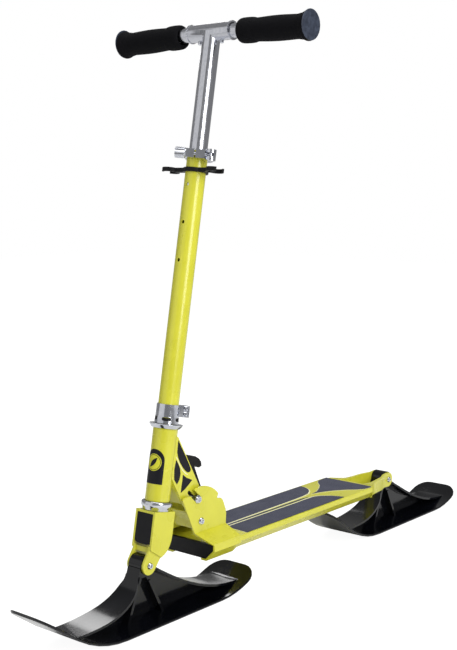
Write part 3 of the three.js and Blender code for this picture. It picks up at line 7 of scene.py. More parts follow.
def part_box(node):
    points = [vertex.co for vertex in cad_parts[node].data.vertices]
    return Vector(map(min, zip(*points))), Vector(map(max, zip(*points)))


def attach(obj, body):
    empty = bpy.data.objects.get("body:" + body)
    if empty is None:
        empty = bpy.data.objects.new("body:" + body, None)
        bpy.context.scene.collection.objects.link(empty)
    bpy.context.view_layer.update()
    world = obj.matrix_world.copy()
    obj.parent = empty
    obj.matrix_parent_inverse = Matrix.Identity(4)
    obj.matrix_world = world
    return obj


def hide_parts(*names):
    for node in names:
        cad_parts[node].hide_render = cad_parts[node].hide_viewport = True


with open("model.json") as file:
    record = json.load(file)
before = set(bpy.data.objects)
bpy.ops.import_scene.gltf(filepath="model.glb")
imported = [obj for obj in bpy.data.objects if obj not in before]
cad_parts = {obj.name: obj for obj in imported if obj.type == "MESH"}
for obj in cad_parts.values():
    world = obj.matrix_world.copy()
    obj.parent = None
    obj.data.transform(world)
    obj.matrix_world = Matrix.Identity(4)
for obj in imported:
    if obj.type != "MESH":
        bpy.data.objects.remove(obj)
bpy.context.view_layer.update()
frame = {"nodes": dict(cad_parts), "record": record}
nodes = frame["nodes"]
bodyOfNode = {name: body for body, names in frame["record"]["behaviour"]["bodies"].items() for name in names}
slotOfNode = {part["node"]: part["material_slot"] for part in frame["record"]["subparts"]}
print("frame loaded:", len(nodes), "solids")


# camera and light

cameraSettings = {
    "place": (1.17871, -1.54094, 0.65171),
    "azimuth": 39.837,
    "elevation": 6.919,
    "roll": 0.026,
    "lens": 64.016,  # on a 36 mm high sensor
    "sensor": 36.0,
}


def makeCamera(settings):
    azimuth, elevation = math.radians(settings["azimuth"]), math.radians(settings["elevation"])
    ahead = Vector((
        -math.sin(azimuth) * math.cos(elevation),
        math.cos(azimuth) * math.cos(elevation),
        -math.sin(elevation),
    ))
    data = bpy.data.cameras.new("photoCamera")
    data.sensor_fit = "VERTICAL"
    data.sensor_height = settings["sensor"]
    data.lens = settings["lens"]
    camera = bpy.data.objects.new("photoCamera", data)
    bpy.context.scene.collection.objects.link(camera)
    turn = ahead.to_track_quat("-Z", "Y").to_matrix().to_4x4()
    roll = Matrix.Rotation(math.radians(settings["roll"]), 4, "Z")
    camera.matrix_world = Matrix.Translation(settings["place"]) @ turn @ roll
    bpy.context.scene.camera = camera


makeCamera(cameraSettings)
bpy.context.scene.view_settings.view_transform = "Standard"

lampSettings = {
    "keySoftbox": {"place": (2.5, -0.7, 1.6), "aim": (0, 0, 0.4), "size": (1.3, 2.2), "power": 58},
    "fillSoftbox": {"place": (-0.9, -2.6, 1.3), "aim": (0, -0.1, 0.4), "size": (3.2, 2.6), "power": 13},
    "rearSoftbox": {"place": (-1.9, 1.3, 1.5), "aim": (0, -0.2, 0.05), "size": (1.2, 0.6), "power": 10},
    "topSoftbox": {"place": (0, 0.1, 2.7), "aim": (0, 0, 0), "size": (1.8, 1.8), "power": 30},
}


def makeLamp(name, settings):
    data = bpy.data.lights.new(name, "AREA")
    data.shape = "RECTANGLE"
    data.size, data.size_y = settings["size"]
    data.energy = settings["power"]
    lamp = bpy.data.objects.new(name, data)
    bpy.context.scene.collection.objects.link(lamp)
    place = Vector(settings["place"])
    turn = (Vector(settings["aim"]) - place).to_track_quat("-Z", "Y")
    lamp.matrix_world = Matrix.Translation(place) @ turn.to_matrix().to_4x4()


for lampName, lampValues in lampSettings.items():
    makeLamp(lampName, lampValues)
print("camera and", len(lampSettings), "softboxes placed")


# materials

def hexColour(text, alpha=1.0):
    channels = [int(text[i:i + 2], 16) / 255 for i in (1, 3, 5)]
    return tuple(c / 12.92 if c <= 0.04045 else ((c + 0.055) / 1.055) ** 2.4 for c in channels) + (alpha,)


def addNode(tree, kind, settings=None, links=None):
    node = tree.nodes.new(kind)
    for key, value in (settings or {}).items():
        if isinstance(key, int) or key in node.inputs:
            node.inputs[key].default_value = value
        else:
            setattr(node, key, value)
    for key, source in (links or {}).items():
        tree.links.new(source, node.inputs[key])
    return node


def startMaterial(name, settings):
    material = bpy.data.materials.new(name)
    material.use_nodes = True
    tree = material.node_tree
    shader = tree.nodes["Principled BSDF"]
    for key, value in settings.items():
        shader.inputs[key].default_value = value
    place = addNode(tree, "ShaderNodeTexCoord").outputs["Object"]
    return material, tree, shader, place


def addRamp(tree, source, stops):
    ramp = addNode(tree, "ShaderNodeValToRGB", None, {"Fac": source})
    for i, (position, colour) in enumerate(stops):
        stop = ramp.color_ramp.elements[i] if i < 2 else ramp.color_ramp.elements.new(position)
        stop.position = position
        stop.color = colour
    return ramp.outputs["Color"]


def addBump(tree, shader, height, strength, distance):
    bump = addNode(tree, "ShaderNodeBump", {"Strength": strength, "Distance": distance}, {"Height": height})
    tree.links.new(bump.outputs["Normal"], shader.inputs["Normal"])


def grey(value):
    return (value, value, value, 1.0)


def addNoise(tree, place, size, detail, distortion=0.0):
    # size is the pattern's in mm
    settings = {"Scale": 1000 / size, "Detail": detail, "Distortion": distortion}
    return addNode(tree, "ShaderNodeTexNoise", settings, {"Vector": place}).outputs["Fac"]


def spreadColour(tree, shader, source, dark, light, stops):
    colour = addRamp(tree, source, [(stops[0], hexColour(dark)), (stops[1], hexColour(light))])
    tree.links.new(colour, shader.inputs["Base Color"])


def spreadLook(tree, shader, source, values):
    # one noise drives both the colour and the roughness
    spreadColour(tree, shader, source, values["dark"], values["light"], values["stops"])
    smooth, rough = values["roughness"]
    spread = addRamp(tree, source, [(0.3, grey(smooth)), (0.7, grey(rough))])
    tree.links.new(spread, shader.inputs["Roughness"])


# polyester powder coat on steel, sprayed and oven cured: even colour, soft gloss, faint orange peel
powderCoatSettings = {"light": "#D6D33A", "dark": "#CFCC34", "stops": (0.35, 0.65), "roughness": (0.25, 0.32),
                      "peel": 2.2, "patch": 40.0}


def powderCoat():
    values = powderCoatSettings
    material, tree, shader, place = startMaterial("limePowderCoat", {"Coat Weight": 0.35, "Coat Roughness": 0.12})
    spreadLook(tree, shader, addNoise(tree, place, values["patch"], 3.0), values)
    addBump(tree, shader, addNoise(tree, place, values["peel"], 2.0), 0.06, 0.0004)
    return material


# drawn aluminium tube, polished along its length and clear anodised: fine lengthwise lines, bright
polishedTubeSettings = {"light": "#D9DADF", "dark": "#BDBFC7", "stops": (0.3, 0.7), "roughness": (0.13, 0.24),
                        "line": 0.9, "run": 60.0}


def polishedTube(name, turn):
    values = polishedTubeSettings
    material, tree, shader, place = startMaterial(name, {"Metallic": 1.0})
    along = addNode(tree, "ShaderNodeMapping", {
        "Rotation": turn,
        "Scale": (1000 / values["line"], 1000 / values["line"], 1000 / values["run"]),
    }, {"Vector": place})
    lines = addNoise(tree, along.outputs["Vector"], 1000, 4.0)  # the mapping has scaled it
    spreadLook(tree, shader, lines, values)
    addBump(tree, shader, lines, 0.05, 0.0002)
    return material


# bright zinc plate or nickel on steel and cast alloy, barrel plated: mirror bright with soft clouding
brightPlateSettings = {"light": "#D8DAE0", "dark": "#C6C9D2", "stops": (0.35, 0.6), "roughness": (0.1, 0.17),
                       "cloud": 16.0, "scuff": 0.8}


def brightPlate():
    values = brightPlateSettings
    material, tree, shader, place = startMaterial("brightZincPlate", {"Metallic": 1.0})
    spreadLook(tree, shader, addNoise(tree, place, values["cloud"], 4.0), values)
    addBump(tree, shader, addNoise(tree, place, values["scuff"], 2.0), 0.04, 0.0002)
    return material


# hardened steel, turned and oiled: dark grey with turning marks
turnedSteelSettings = {"light": "#8F9298", "dark": "#64676D", "stops": (0.3, 0.7), "roughness": (0.3, 0.45),
                       "mark": 0.6}


def turnedSteel():
    values = turnedSteelSettings
    material, tree, shader, place = startMaterial("oiledSteel", {"Metallic": 1.0})
    marks = addNoise(tree, place, values["mark"], 3.0)
    spreadLook(tree, shader, marks, values)
    addBump(tree, shader, marks, 0.1, 0.0002)
    return material


# mouldings in black or slate plastic: the grain is the mould's, coarser or finer, over a soft uneven sheen;
# the skis are glossy and show glints, the nylon and the plug are dull
mouldedSettings = {
    "polyethyleneSki": {"light": "#0B0C11", "dark": "#050609", "stops": (0.35, 0.7), "roughness": (0.09, 0.14),
                        "grain": 1.6, "flow": 60.0, "bump": 0.02, "specular": 0.4},
    "nylonMoulding": {"light": "#0F0F14", "dark": "#08080B", "stops": (0.35, 0.7), "roughness": (0.45, 0.6),
                      "grain": 0.7, "flow": 14.0, "bump": 0.22, "specular": 0.25},
    "greyEndPlug": {"light": "#3A4150", "dark": "#272D3A", "stops": (0.35, 0.7), "roughness": (0.45, 0.6),
                    "grain": 0.6, "flow": 7.0, "bump": 0.12, "specular": 0.3},
}


def mouldedPlastic(name):
    values = mouldedSettings[name]
    material, tree, shader, place = startMaterial(name, {"Specular IOR Level": values["specular"]})
    spreadLook(tree, shader, addNoise(tree, place, values["flow"], 4.0, 0.6), values)
    addBump(tree, shader, addNoise(tree, place, values["grain"], 2.0), values["bump"], 0.0003)
    return material


# closed-cell EVA foam, skived and buffed: dull black with open cells at its skin, the colour darkest at the bottom
# of each cell: painted shade in the pits
foamSettings = {"light": "#0F0F12", "dark": "#040405", "stops": (0.05, 0.5), "cell": 1.3, "nap": 0.5}


def evaFoam():
    values = foamSettings
    material, tree, shader, place = startMaterial("evaFoam", {"Roughness": 0.95, "Specular IOR Level": 0.12})
    cells = addNode(tree, "ShaderNodeTexVoronoi", {"Scale": 1000 / values["cell"]}, {"Vector": place})
    nap = addNoise(tree, place, values["nap"], 3.0)
    # colour follows the cell distance, darkest where the bump sinks each pit: painted shade
    spreadColour(tree, shader, cells.outputs["Distance"], values["dark"], values["light"], values["stops"])
    height = addNode(tree, "ShaderNodeMath", {"operation": "ADD"}, {0: cells.outputs["Distance"], 1: nap})
    addBump(tree, shader, height.outputs["Value"], 0.35, 0.0004)
    return material


# anti-slip sheet, grit in resin on film: slate grey with fine light specks, dry and rough
gritSettings = {"light": "#4B4D5B", "dark": "#434553", "speck": "#6C6E7C", "grit": 0.7, "patch": 25.0}


def gritSheet():
    values = gritSettings
    material, tree, shader, place = startMaterial("antiSlipSheet", {"Roughness": 0.85, "Specular IOR Level": 0.25})
    patches = addNoise(tree, place, values["patch"], 3.0)
    grit = addNode(tree, "ShaderNodeTexVoronoi", {"Scale": 1000 / values["grit"]}, {"Vector": place})
    ground = addRamp(tree, patches, [(0.3, hexColour(values["dark"])), (0.7, hexColour(values["light"]))])
    specks = addRamp(tree, grit.outputs["Distance"], [(0.12, grey(1.0)), (0.3, grey(0.0))])
    colour = addNode(tree, "ShaderNodeMix", {"data_type": "RGBA"})
    tree.links.new(specks, colour.inputs["Factor"])
    tree.links.new(ground, colour.inputs["A"])
    colour.inputs["B"].default_value = hexColour(values["speck"])
    tree.links.new(colour.outputs["Result"], shader.inputs["Base Color"])
    addBump(tree, shader, grit.outputs["Distance"], 0.4, 0.0004)
    return material


# printed vinyl film, cut and stuck on: flat colour, satin, with a faint print mottle
vinylSettings = {  # light and dark
    "paleVinyl": ("#EDEBC0", "#E2E0AC"),
    "blackVinyl": ("#111119", "#0B0B12"),
    "limeVinyl": ("#D8D63A", "#D0CE34"),
}
mottleSize = 2.5


def vinylFilm(name):
    light, dark = vinylSettings[name]
    material, tree, shader, place = startMaterial(name, {"Roughness": 0.45, "Specular IOR Level": 0.25})
    mottle = addNoise(tree, place, mottleSize, 3.0)
    spreadColour(tree, shader, mottle, dark, light, (0.3, 0.7))
    addBump(tree, shader, mottle, 0.03, 0.0002)
    return material


# natural nylon bush, turned from bar: milky white, slightly waxy
nylonSettings = {"light": "#E2E2DA", "dark": "#CFCFC6", "mottle": 10 / 3}


def nylonBar():
    values = nylonSettings
    material, tree, shader, place = startMaterial("turnedNylon", {"Roughness": 0.45, "Subsurface Weight": 0.1})
    mottle = addNoise(tree, place, values["mottle"], 3.0)
    spreadColour(tree, shader, mottle, values["dark"], values["light"], (0.3, 0.7))
    return material


rake = math.radians(10.36)
axisFoot = (0, -0.32901, 0)
steeringAxis = Matrix.Translation(axisFoot) @ Matrix.Rotation(-rake, 4, "X")
materials = {
    "paint": powderCoat(),
    "alloy": polishedTube("polishedStemAluminium", (rake, 0, 0)),
    "barAlloy": polishedTube("polishedBarAluminium", (0, math.radians(90), 0)),
    "zinc": brightPlate(),
    "steel": turnedSteel(),
    "gloss_black": mouldedPlastic("polyethyleneSki"),
    "matt_black": mouldedPlastic("nylonMoulding"),
    "cap_grey": mouldedPlastic("greyEndPlug"),
    "foam": evaFoam(),
    "anti_slip": gritSheet(),
    "nylon": nylonBar(),
    "pale": vinylFilm("paleVinyl"),
    "black": vinylFilm("blackVinyl"),
    "lime": vinylFilm("limeVinyl"),
}
print(len(materials), "materials made")


# pieces taken from the solids: merged, edges eased, faces smoothed

easedEdges = {  # width of the rounded edge in mm
    "deck_platform": 0.7, "hinge_plate_left": 0.5, "hinge_plate_right": 0.5, "gusset_left": 0.5, "gusset_right": 0.5,
    "rear_arm_left": 0.8, "rear_arm_right": 0.8, "fork": 0.8, "fork_plug": 0.7, "front_bumper": 1.2,
    "head_tube": 0.3, "upper_cup": 0.3, "release_lever": 0.8, "steering_tube": 0.3,
    "lower_clamp": 0.4, "upper_clamp": 0.6, "holder_clip": 0.7, "thumb_nut": 0.25, "qr_lever": 0.5, "t_bar": 0.3,
    "front_ski": 0.5, "rear_ski": 0.5, "end_cap_left": 0.4, "end_cap_right": 0.4,
    "pivot_bolt": 0.2, "lock_bolt": 0.2, "front_axle_bolt": 0.2, "rear_axle_bolt": 0.2,
    "pivot_nut": 0.25, "lock_nut": 0.25, "front_axle_nut": 0.25, "rear_axle_nut": 0.25,
    "lower_clamp_bolt_upper": 0.2, "lower_clamp_bolt_lower": 0.2,
}
smoothAngle = math.radians(38)
mergeSettings = {"distance": 0.000002, "flat": math.radians(0.4)}
bevelSettings = {"segments": 2, "angle": math.radians(40)}


def selectOnly(piece):
    bpy.ops.object.select_all(action="DESELECT")
    piece.select_set(True)
    bpy.context.view_layer.objects.active = piece


def copyOfSolid(nodeName, pieceName):
    piece = bpy.data.objects.new(pieceName, nodes[nodeName].data.copy())
    bpy.context.scene.collection.objects.link(piece)
    piece.data.materials.clear()
    selectOnly(piece)
    bpy.ops.object.mode_set(mode="EDIT")
    bpy.ops.mesh.select_all(action="SELECT")
    bpy.ops.mesh.remove_doubles(threshold=mergeSettings["distance"])
    bpy.ops.mesh.dissolve_limited(angle_limit=mergeSettings["flat"])
    bpy.ops.object.mode_set(mode="OBJECT")
    return piece


def finishPiece(piece, material, body, smooth=smoothAngle):
    piece.data.materials.clear()
    piece.data.materials.append(material)
    selectOnly(piece)
    bpy.ops.object.shade_smooth_by_angle(angle=smooth)
    weighted = piece.modifiers.new("faceWeighted", "WEIGHTED_NORMAL")
    weighted.keep_sharp = True
    bpy.ops.object.modifier_apply(modifier=weighted.name)
    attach(piece, body)


def faceOutward():
    bpy.ops.object.mode_set(mode="EDIT")
    bpy.ops.mesh.select_all(action="SELECT")
    bpy.ops.mesh.normals_make_consistent(inside=False)
    bpy.ops.object.mode_set(mode="OBJECT")


def thicken(piece, thickness, offset=1, even=False):
    wall = piece.modifiers.new("sheetThickness", "SOLIDIFY")
    wall.thickness = thickness
    wall.offset = offset
    wall.use_even_offset = even
    selectOnly(piece)
    bpy.ops.object.modifier_apply(modifier=wall.name)
    faceOutward()


def filledOutline(name, points):
    bpy.ops.object.select_all(action="DESELECT")
    bpy.ops.mesh.primitive_circle_add(vertices=len(points), radius=0.01, fill_type="NGON", location=(0, 0, 0))
    piece = bpy.context.object
    piece.name = name
    for vertex, point in zip(piece.data.vertices, points):
        vertex.co = point
    return piece


def easeEdges(piece, width):
    bevel = piece.modifiers.new("easedEdge", "BEVEL")
    bevel.width = width / 1000
    bevel.segments = bevelSettings["segments"]
    bevel.limit_method = "ANGLE"
    bevel.angle_limit = bevelSettings["angle"]
    selectOnly(piece)
    bpy.ops.object.modifier_apply(modifier=bevel.name)


# heads drawn a little larger than the solids', as in the photograph: first x of the head in mm, and factor
fullerHeads = {"lock_bolt": (26.15, 1.3), "pivot_bolt": (26.15, 1.12)}


def fullerHead(piece, nodeName):
    start, factor = fullerHeads[nodeName]
    low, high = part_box(nodeName)
    middle = (low + high) / 2
    for vertex in piece.data.vertices:
        if vertex.co.x * 1000 > start:
            vertex.co.y = middle.y + (vertex.co.y - middle.y) * factor
            vertex.co.z = middle.z + (vertex.co.z - middle.z) * factor


for nodeName, width in easedEdges.items():
    piece = copyOfSolid(nodeName, nodeName + "_eased")
    if nodeName in fullerHeads:
        fullerHead(piece, nodeName)
    easeEdges(piece, width)
    finishPiece(piece, materials[slotOfNode[nodeName]], bodyOfNode[nodeName])
    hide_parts(nodeName)
print(len(easedEdges), "pieces eased")

for nodeName, node in nodes.items():
    if nodeName not in easedEdges:
        slotName = slotOfNode[nodeName]
        node.data.materials.clear()
        node.data.materials.append(materials["barAlloy" if nodeName.startswith("bar_stub") else slotName])
print("remaining solids finished")


# foam grips: a tube drawn out ring by ring along the bar, then smoothed

gripSettings = {
    "sides": 40,
    "length": 0.1262,
    "bore": 11.2,  # hugs the bar
    "droop": 1.45,
    "smooth": math.radians(60),
    # along, as shares of the length, and radius in mm
    "rings": [(0.0, 12.2), (0.0, 16.2), (0.008, 18.0), (0.03, 19.0), (0.1, 19.3), (0.17, 19.2), (0.205, 18.7),
              (0.225, 17.6), (0.245, 17.4), (0.32, 17.9), (0.43, 18.6), (0.55, 18.9), (0.68, 18.6), (0.82, 17.9),
              (0.855, 17.9), (0.872, 18.9), (0.915, 19.1), (0.94, 20.2), (0.96, 21.6), (0.985, 21.8), (1.0, 21.2),
              (1.0, 12.2)],
}


def turnedRing(name, sides, rings):
    # drawn out ring by ring along x; rings are distance and radius in metres, and the last joins the first
    bpy.ops.object.select_all(action="DESELECT")
    bpy.ops.mesh.primitive_circle_add(vertices=sides, radius=rings[0][1], fill_type="NOTHING",
                                      location=(rings[0][0], 0, 0), rotation=(0, math.radians(90), 0))
    piece = bpy.context.object
    piece.name = name
    bpy.ops.object.transform_apply(location=True, rotation=True, scale=True)
    bpy.ops.object.mode_set(mode="EDIT")
    bpy.ops.mesh.select_all(action="SELECT")
    for (lastAlong, lastRadius), (along, radius) in zip(rings, rings[1:]):
        factor = radius / lastRadius
        bpy.ops.mesh.extrude_region_move(TRANSFORM_OT_translate={"value": (along - lastAlong, 0, 0)})
        bpy.ops.transform.resize(value=(1, factor, factor), center_override=(along, 0, 0))
    bpy.ops.mesh.select_all(action="DESELECT")
    bpy.ops.mesh.select_non_manifold()
    bpy.ops.mesh.bridge_edge_loops()
    bpy.ops.mesh.select_all(action="SELECT")
    bpy.ops.mesh.normals_make_consistent(inside=False)
    bpy.ops.object.mode_set(mode="OBJECT")
    return piece


def foamGrip(side, settings):
    name = "left" if side > 0 else "right"
    low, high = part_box("grip_" + name)
    profile = [(0.0, settings["bore"])] + settings["rings"] + [(1.0, settings["bore"])]
    rings = [(share * settings["length"], radius / 1000) for share, radius in profile]
    piece = turnedRing("foam_grip_" + name, settings["sides"], rings)
    smooth = piece.modifiers.new("softFoam", "SUBSURF")
    smooth.levels = smooth.render_levels = 1
    bpy.ops.object.modifier_apply(modifier=smooth.name)
    # inner end towards the stem, then drooped and raked into place
    place = Matrix.Translation((low + high) / 2) @ Matrix.Rotation(-rake, 4, "X")
    place = place @ Matrix.Rotation(side * math.radians(settings["droop"]), 4, "Y")
    place = place @ Matrix.Rotation(0 if side > 0 else math.pi, 4, "Z")
    place = place @ Matrix.Translation((-settings["length"] / 2, 0, 0))
    piece.data.transform(place)
    finishPiece(piece, materials["foam"], "half_" + name, settings["smooth"])
    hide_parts("grip_" + name)


for side in (1, -1):
    foamGrip(side, gripSettings)
print("foam grips shaped")


# flat stick-on shapes: an outline filled, moved to its face and given a film's thickness

def filmShape(name, points, thickness, material, body):
    piece = filledOutline(name, points)
    thicken(piece, thickness, even=True)
    finishPiece(piece, material, body)


# generic dark shapes and a curved pale band on the two gussets, y and z in metres
gussetFilm = {
    "face": 0.01852,
    "thickness": 0.0002,
    "shapes": {
        "upperShape": ("black", [
            (-0.2690, 0.2672), (-0.2604, 0.2528), (-0.2508, 0.2366), (-0.2432, 0.2226), (-0.2404, 0.2160),
            (-0.2420, 0.2130),
            (-0.2470, 0.2124), (-0.2515, 0.2146), (-0.2586, 0.2216), (-0.2657, 0.2317), (-0.2698, 0.2403),
            (-0.2717, 0.2484),
        ]),
        "frontShape": ("black", [
            (-0.2741, 0.2376), (-0.2691, 0.2304), (-0.2652, 0.2219), (-0.2641, 0.2139), (-0.2670, 0.2047),
            (-0.2727, 0.1984),
            (-0.2790, 0.2074), (-0.2785, 0.2226),
        ]),
        "lowerShape": ("black", [
            (-0.2593, 0.2118), (-0.2510, 0.2051), (-0.2429, 0.2015), (-0.2375, 0.1990), (-0.2430, 0.1948),
            (-0.2545, 0.1875),
            (-0.2643, 0.1834), (-0.2625, 0.1940), (-0.2602, 0.2033),
        ]),
        "paleBand": ("pale", [
            (-0.2735, 0.2420), (-0.2712, 0.2396), (-0.2672, 0.2314), (-0.2596, 0.2200), (-0.2520, 0.2126),
            (-0.2472, 0.2100),
            (-0.2478, 0.2090), (-0.2530, 0.2110), (-0.2604, 0.2182), (-0.2682, 0.2300), (-0.2720, 0.2380),
            (-0.2742, 0.2404),
        ]),
    },
}
for side, sideName in ((1, "left"), (-1, "right")):
    for shapeName, (finish, outline) in gussetFilm["shapes"].items():
        reach = side * gussetFilm["face"]
        points = [(reach, y, z) for y, z in outline]
        if side > 0:
            points.reverse()
        filmShape(f"gusset_{shapeName}_{sideName}", points, -gussetFilm["thickness"], materials[finish],
                  "head")
print("gusset films placed")


# pale printed borders under the anti-slip panels, towards the middle of the deck, and the stripe between them

deckPrint = {
    "border": 0.0034,
    "paleTop": 0.09992,
    # each panel with the fixed point that its border grows away from, and which way it grows
    "panels": {
        "grip_panel_left": {"hold": "high", "grow": (1, 0.6)},
        "grip_panel_right": {"hold": "low", "grow": (1, 0.6)},
        "grip_panel_rear": {"hold": "high", "grow": (0, 1)},
    },
    "stripe": [(-0.0001, -0.1405), (0.0043, -0.1405), (0.0043, 0.060), (0.0040, 0.078), (0.0030, 0.092),
               (0.0004, 0.078), (-0.0001, 0.060)],
    "stripeFoot": 0.09966,
    "stripeThickness": 0.0004,
}


def paleBorder(nodeName, settings):
    values = settings["panels"][nodeName]
    piece = copyOfSolid(nodeName, nodeName + "_border")
    low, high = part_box(nodeName)
    hold = high if values["hold"] == "high" else low
    grow = [1 + values["grow"][i] * settings["border"] / (high[i] - low[i]) for i in (0, 1)]
    squeeze = (settings["paleTop"] - low.z) / (high.z - low.z)
    middle = (low + high) / 2
    fixed = (hold.x if values["grow"][0] == 1 else middle.x, high.y if values["grow"][1] == 1 else middle.y, low.z)
    bpy.ops.object.mode_set(mode="EDIT")
    bpy.ops.mesh.select_all(action="SELECT")
    bpy.ops.transform.resize(value=(grow[0], grow[1], squeeze), center_override=fixed)
    bpy.ops.object.mode_set(mode="OBJECT")
    finishPiece(piece, materials["pale"], "deck")


for panelName in deckPrint["panels"]:
    paleBorder(panelName, deckPrint)
stripePoints = [(x, y, deckPrint["stripeFoot"]) for x, y in deckPrint["stripe"]]
filmShape("deck_stripe", stripePoints, deckPrint["stripeThickness"], materials["anti_slip"], "deck")
print("deck print placed")


# badge on the head tube: a plain dark arch with a lime disc, wrapped round the tube; lengths in metres

badgeSettings = {
    "radius": 0.01925, "proud": 0.00012, "turn": 3.0, "halfWidth": 52.0,
    "foot": 0.2050, "top": 0.2575, "archSteps": 24, "columns": 36,
    "discHeight": 0.2372, "discRadius": 0.0130, "ringRadius": 0.0118, "coreRadius": 0.0110, "discSteps": 40,
    "lens": {"steps": 12, "reach": 0.0100, "bulge": 0.0034, "slant": math.radians(52)},
}


def wrapOnTube(piece, settings, lift):
    for vertex in piece.data.vertices:
        angle = vertex.co.x / settings["radius"] + math.radians(settings["turn"])
        reach = settings["radius"] + lift
        vertex.co = steeringAxis @ Vector((reach * math.sin(angle), -reach * math.cos(angle), vertex.co.y))


def tubeFilm(name, outline, settings, lift, material):
    # a fine sheet cut back to the outline, then bent round the tube
    piece = filledOutline(name, [(across, up, 0) for across, up in outline])
    reach = max(abs(across) for across, up in outline)
    bpy.ops.object.mode_set(mode="EDIT")
    for i in range(1, settings["columns"]):
        x = -reach + 2 * reach * i / settings["columns"]
        bpy.ops.mesh.select_all(action="SELECT")
        bpy.ops.mesh.bisect(plane_co=(x, 0, 0), plane_no=(1, 0, 0))
    bpy.ops.object.mode_set(mode="OBJECT")
    wrapOnTube(piece, settings, lift)
    thicken(piece, settings["proud"])
    finishPiece(piece, material, "head")


def archOutline(settings):
    half = settings["radius"] * math.radians(settings["halfWidth"])
    shoulder = settings["top"] - half
    points = [(-half, settings["foot"]), (half, settings["foot"]), (half, shoulder)]
    steps = settings["archSteps"]
    for i in range(1, steps):
        angle = math.pi * i / steps
        points.append((half * math.cos(angle), shoulder + half * math.sin(angle)))
    points.append((-half, shoulder))
    return points


def discOutline(settings, radius):
    turns = [2 * math.pi * i / settings["discSteps"] for i in range(settings["discSteps"])]
    return [(radius * math.cos(turn), settings["discHeight"] + radius * math.sin(turn)) for turn in turns]


def lensOutline(settings):
    # a slanted lens shape across the disc
    lens = settings["lens"]
    cosine, sine = math.cos(lens["slant"]), math.sin(lens["slant"])
    points = []
    for side in (1, -1):
        for i in range(lens["steps"]):
            share = i / lens["steps"]
            along = side * lens["reach"] * (2 * share - 1)
            across = side * -lens["bulge"] * math.sin(math.pi * share)
            points.append((along * cosine - across * sine, settings["discHeight"] + along * sine + across * cosine))
    return points


badgeLayers = {  # from the tube outwards
    "head_badge_arch": (archOutline(badgeSettings), "black"),
    "head_badge_disc": (discOutline(badgeSettings, badgeSettings["discRadius"]), "lime"),
    "head_badge_ring": (discOutline(badgeSettings, badgeSettings["ringRadius"]), "black"),
    "head_badge_core": (discOutline(badgeSettings, badgeSettings["coreRadius"]), "lime"),
    "head_badge_lens": (lensOutline(badgeSettings), "black"),
}
for layer, (layerName, (outline, finish)) in enumerate(badgeLayers.items()):
    tubeFilm(layerName, outline, badgeSettings, layer * badgeSettings["proud"], materials[finish])
print("head badge wrapped")


# rounded lower headset cup, and a black ring inside the lower clamp that makes its windows dark: painted shade in
# place of the shade inside them

columnSides = 64
columnRings = {  # height up the steering axis and radius, both in mm
    "lower_cup_rounded": [(165.2, 20.1), (165.2, 21.2), (167.4, 21.5), (169.2, 22.4), (171.0, 23.6), (173.2, 24.0),
                          (175.6, 24.0), (177.4, 23.6), (178.3, 22.6), (178.35, 20.1)],
    "clamp_window_shade_ring": [(299.4, 16.4), (299.4, 17.9), (305.4, 17.9), (305.4, 16.4)],
}


def columnRing(name, material, body):
    rings = [(height / 1000, radius / 1000) for height, radius in columnRings[name]]
    piece = turnedRing(name, columnSides, rings)
    piece.data.transform(steeringAxis @ Matrix.Rotation(-math.pi / 2, 4, "Y"))
    finishPiece(piece, material, body)
    return piece


roundedCup = columnRing("lower_cup_rounded", materials["zinc"], "head")
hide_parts("lower_cup")
# a black ring that shows through the lower clamp's windows: painted shade standing in for the shade inside them
columnRing("clamp_window_shade_ring", materials["matt_black"], "steering")
print("cup and liner turned")


# folded web between the two gussets, in two parts with a gap for the seated lock bolt's arc

webSettings = {
    "halfWidth": 0.0155,
    "thickness": 0.0022,
    # the top edge is notched round the head tube: share of the half width, y and z
    "notch": {0.5: (-0.2748, 0.1935), 1.0: (-0.2812, 0.2050)},
    "parts": {
        "gusset_web_upper": [(-0.2729, 0.1900), (-0.2590, 0.1655)],
        "gusset_web_lower": [(-0.2507, 0.1515), (-0.2398, 0.1369), (-0.2387, 0.1320), (-0.2382, 0.1265),
                             (-0.2355, 0.1220)],
    },
}


def foldedWeb(name, line, settings):
    bpy.ops.object.select_all(action="DESELECT")
    bpy.ops.mesh.primitive_grid_add(x_subdivisions=4, y_subdivisions=len(line) - 1, size=2, location=(0, 0, 0))
    piece = bpy.context.object
    piece.name = name
    rows = sorted({round(vertex.co.y, 4) for vertex in piece.data.vertices})
    for vertex in piece.data.vertices:
        row = rows.index(round(vertex.co.y, 4))
        y, z = line[row]
        if row == 0 and name == "gusset_web_upper":
            y, z = settings["notch"].get(abs(round(vertex.co.x, 4)), (y, z))
        vertex.co = (settings["halfWidth"] * vertex.co.x, y, z)
    thicken(piece, settings["thickness"], offset=0)
    finishPiece(piece, materials["paint"], "head")


for webName, webLine in webSettings["parts"].items():
    foldedWeb(webName, webLine, webSettings)
print("gusset web folded")


# floor and backdrop

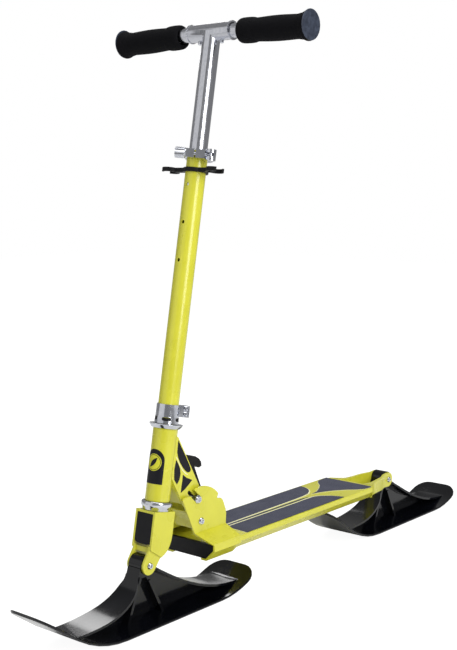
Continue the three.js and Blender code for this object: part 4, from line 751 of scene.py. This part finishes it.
floorSettings = {"size": 14.0, "colour": "#F4F4F4", "whiteShare": 0.72, "whiteLevel": 1.3}


def studioFloor(settings):
    bpy.ops.object.select_all(action="DESELECT")
    bpy.ops.mesh.primitive_plane_add(size=settings["size"], location=(0, 0, -0.0004))
    floor = bpy.context.object
    floor.name = "studioFloor"
    material = bpy.data.materials.new("paintedFloor")
    material.use_nodes = True
    tree = material.node_tree
    shader = tree.nodes["Principled BSDF"]
    shader.inputs["Base Color"].default_value = hexColour(settings["colour"])
    shader.inputs["Roughness"].default_value = 0.9
    white = addNode(tree, "ShaderNodeEmission", {"Color": grey(1.0), "Strength": settings["whiteLevel"]})
    path = addNode(tree, "ShaderNodeLightPath")
    share = addNode(tree, "ShaderNodeMath", {"operation": "MULTIPLY", 1: settings["whiteShare"]},
                    {0: path.outputs["Is Camera Ray"]})
    mixed = addNode(tree, "ShaderNodeMixShader", None, {
        0: share.outputs["Value"],
        1: shader.outputs["BSDF"],
        2: white.outputs["Emission"],
    })
    tree.links.new(mixed.outputs["Shader"], tree.nodes["Material Output"].inputs["Surface"])
    floor.data.materials.append(material)


def studioWorld():
    world = bpy.data.worlds.new("studioWorld")
    bpy.context.scene.world = world
    world.use_nodes = True
    tree = world.node_tree
    tree.nodes.clear()
    path = addNode(tree, "ShaderNodeLightPath")
    seen = addNode(tree, "ShaderNodeMath", {"operation": "MAXIMUM"},
                   {0: path.outputs["Is Camera Ray"], 1: path.outputs["Is Transmission Ray"]})
    lighting = addNode(tree, "ShaderNodeBackground", {"Color": grey(1.0), "Strength": 0.27})
    backdrop = addNode(tree, "ShaderNodeBackground", {"Color": grey(1.0), "Strength": 1.0})
    mixed = addNode(tree, "ShaderNodeMixShader", None, {
        0: seen.outputs["Value"],
        1: lighting.outputs["Background"],
        2: backdrop.outputs["Background"],
    })
    out = addNode(tree, "ShaderNodeOutputWorld")
    tree.links.new(mixed.outputs["Shader"], out.inputs["Surface"])


studioFloor(floorSettings)
studioWorld()
print("studio ready")

bpy.ops.object.select_all(action="DESELECT")
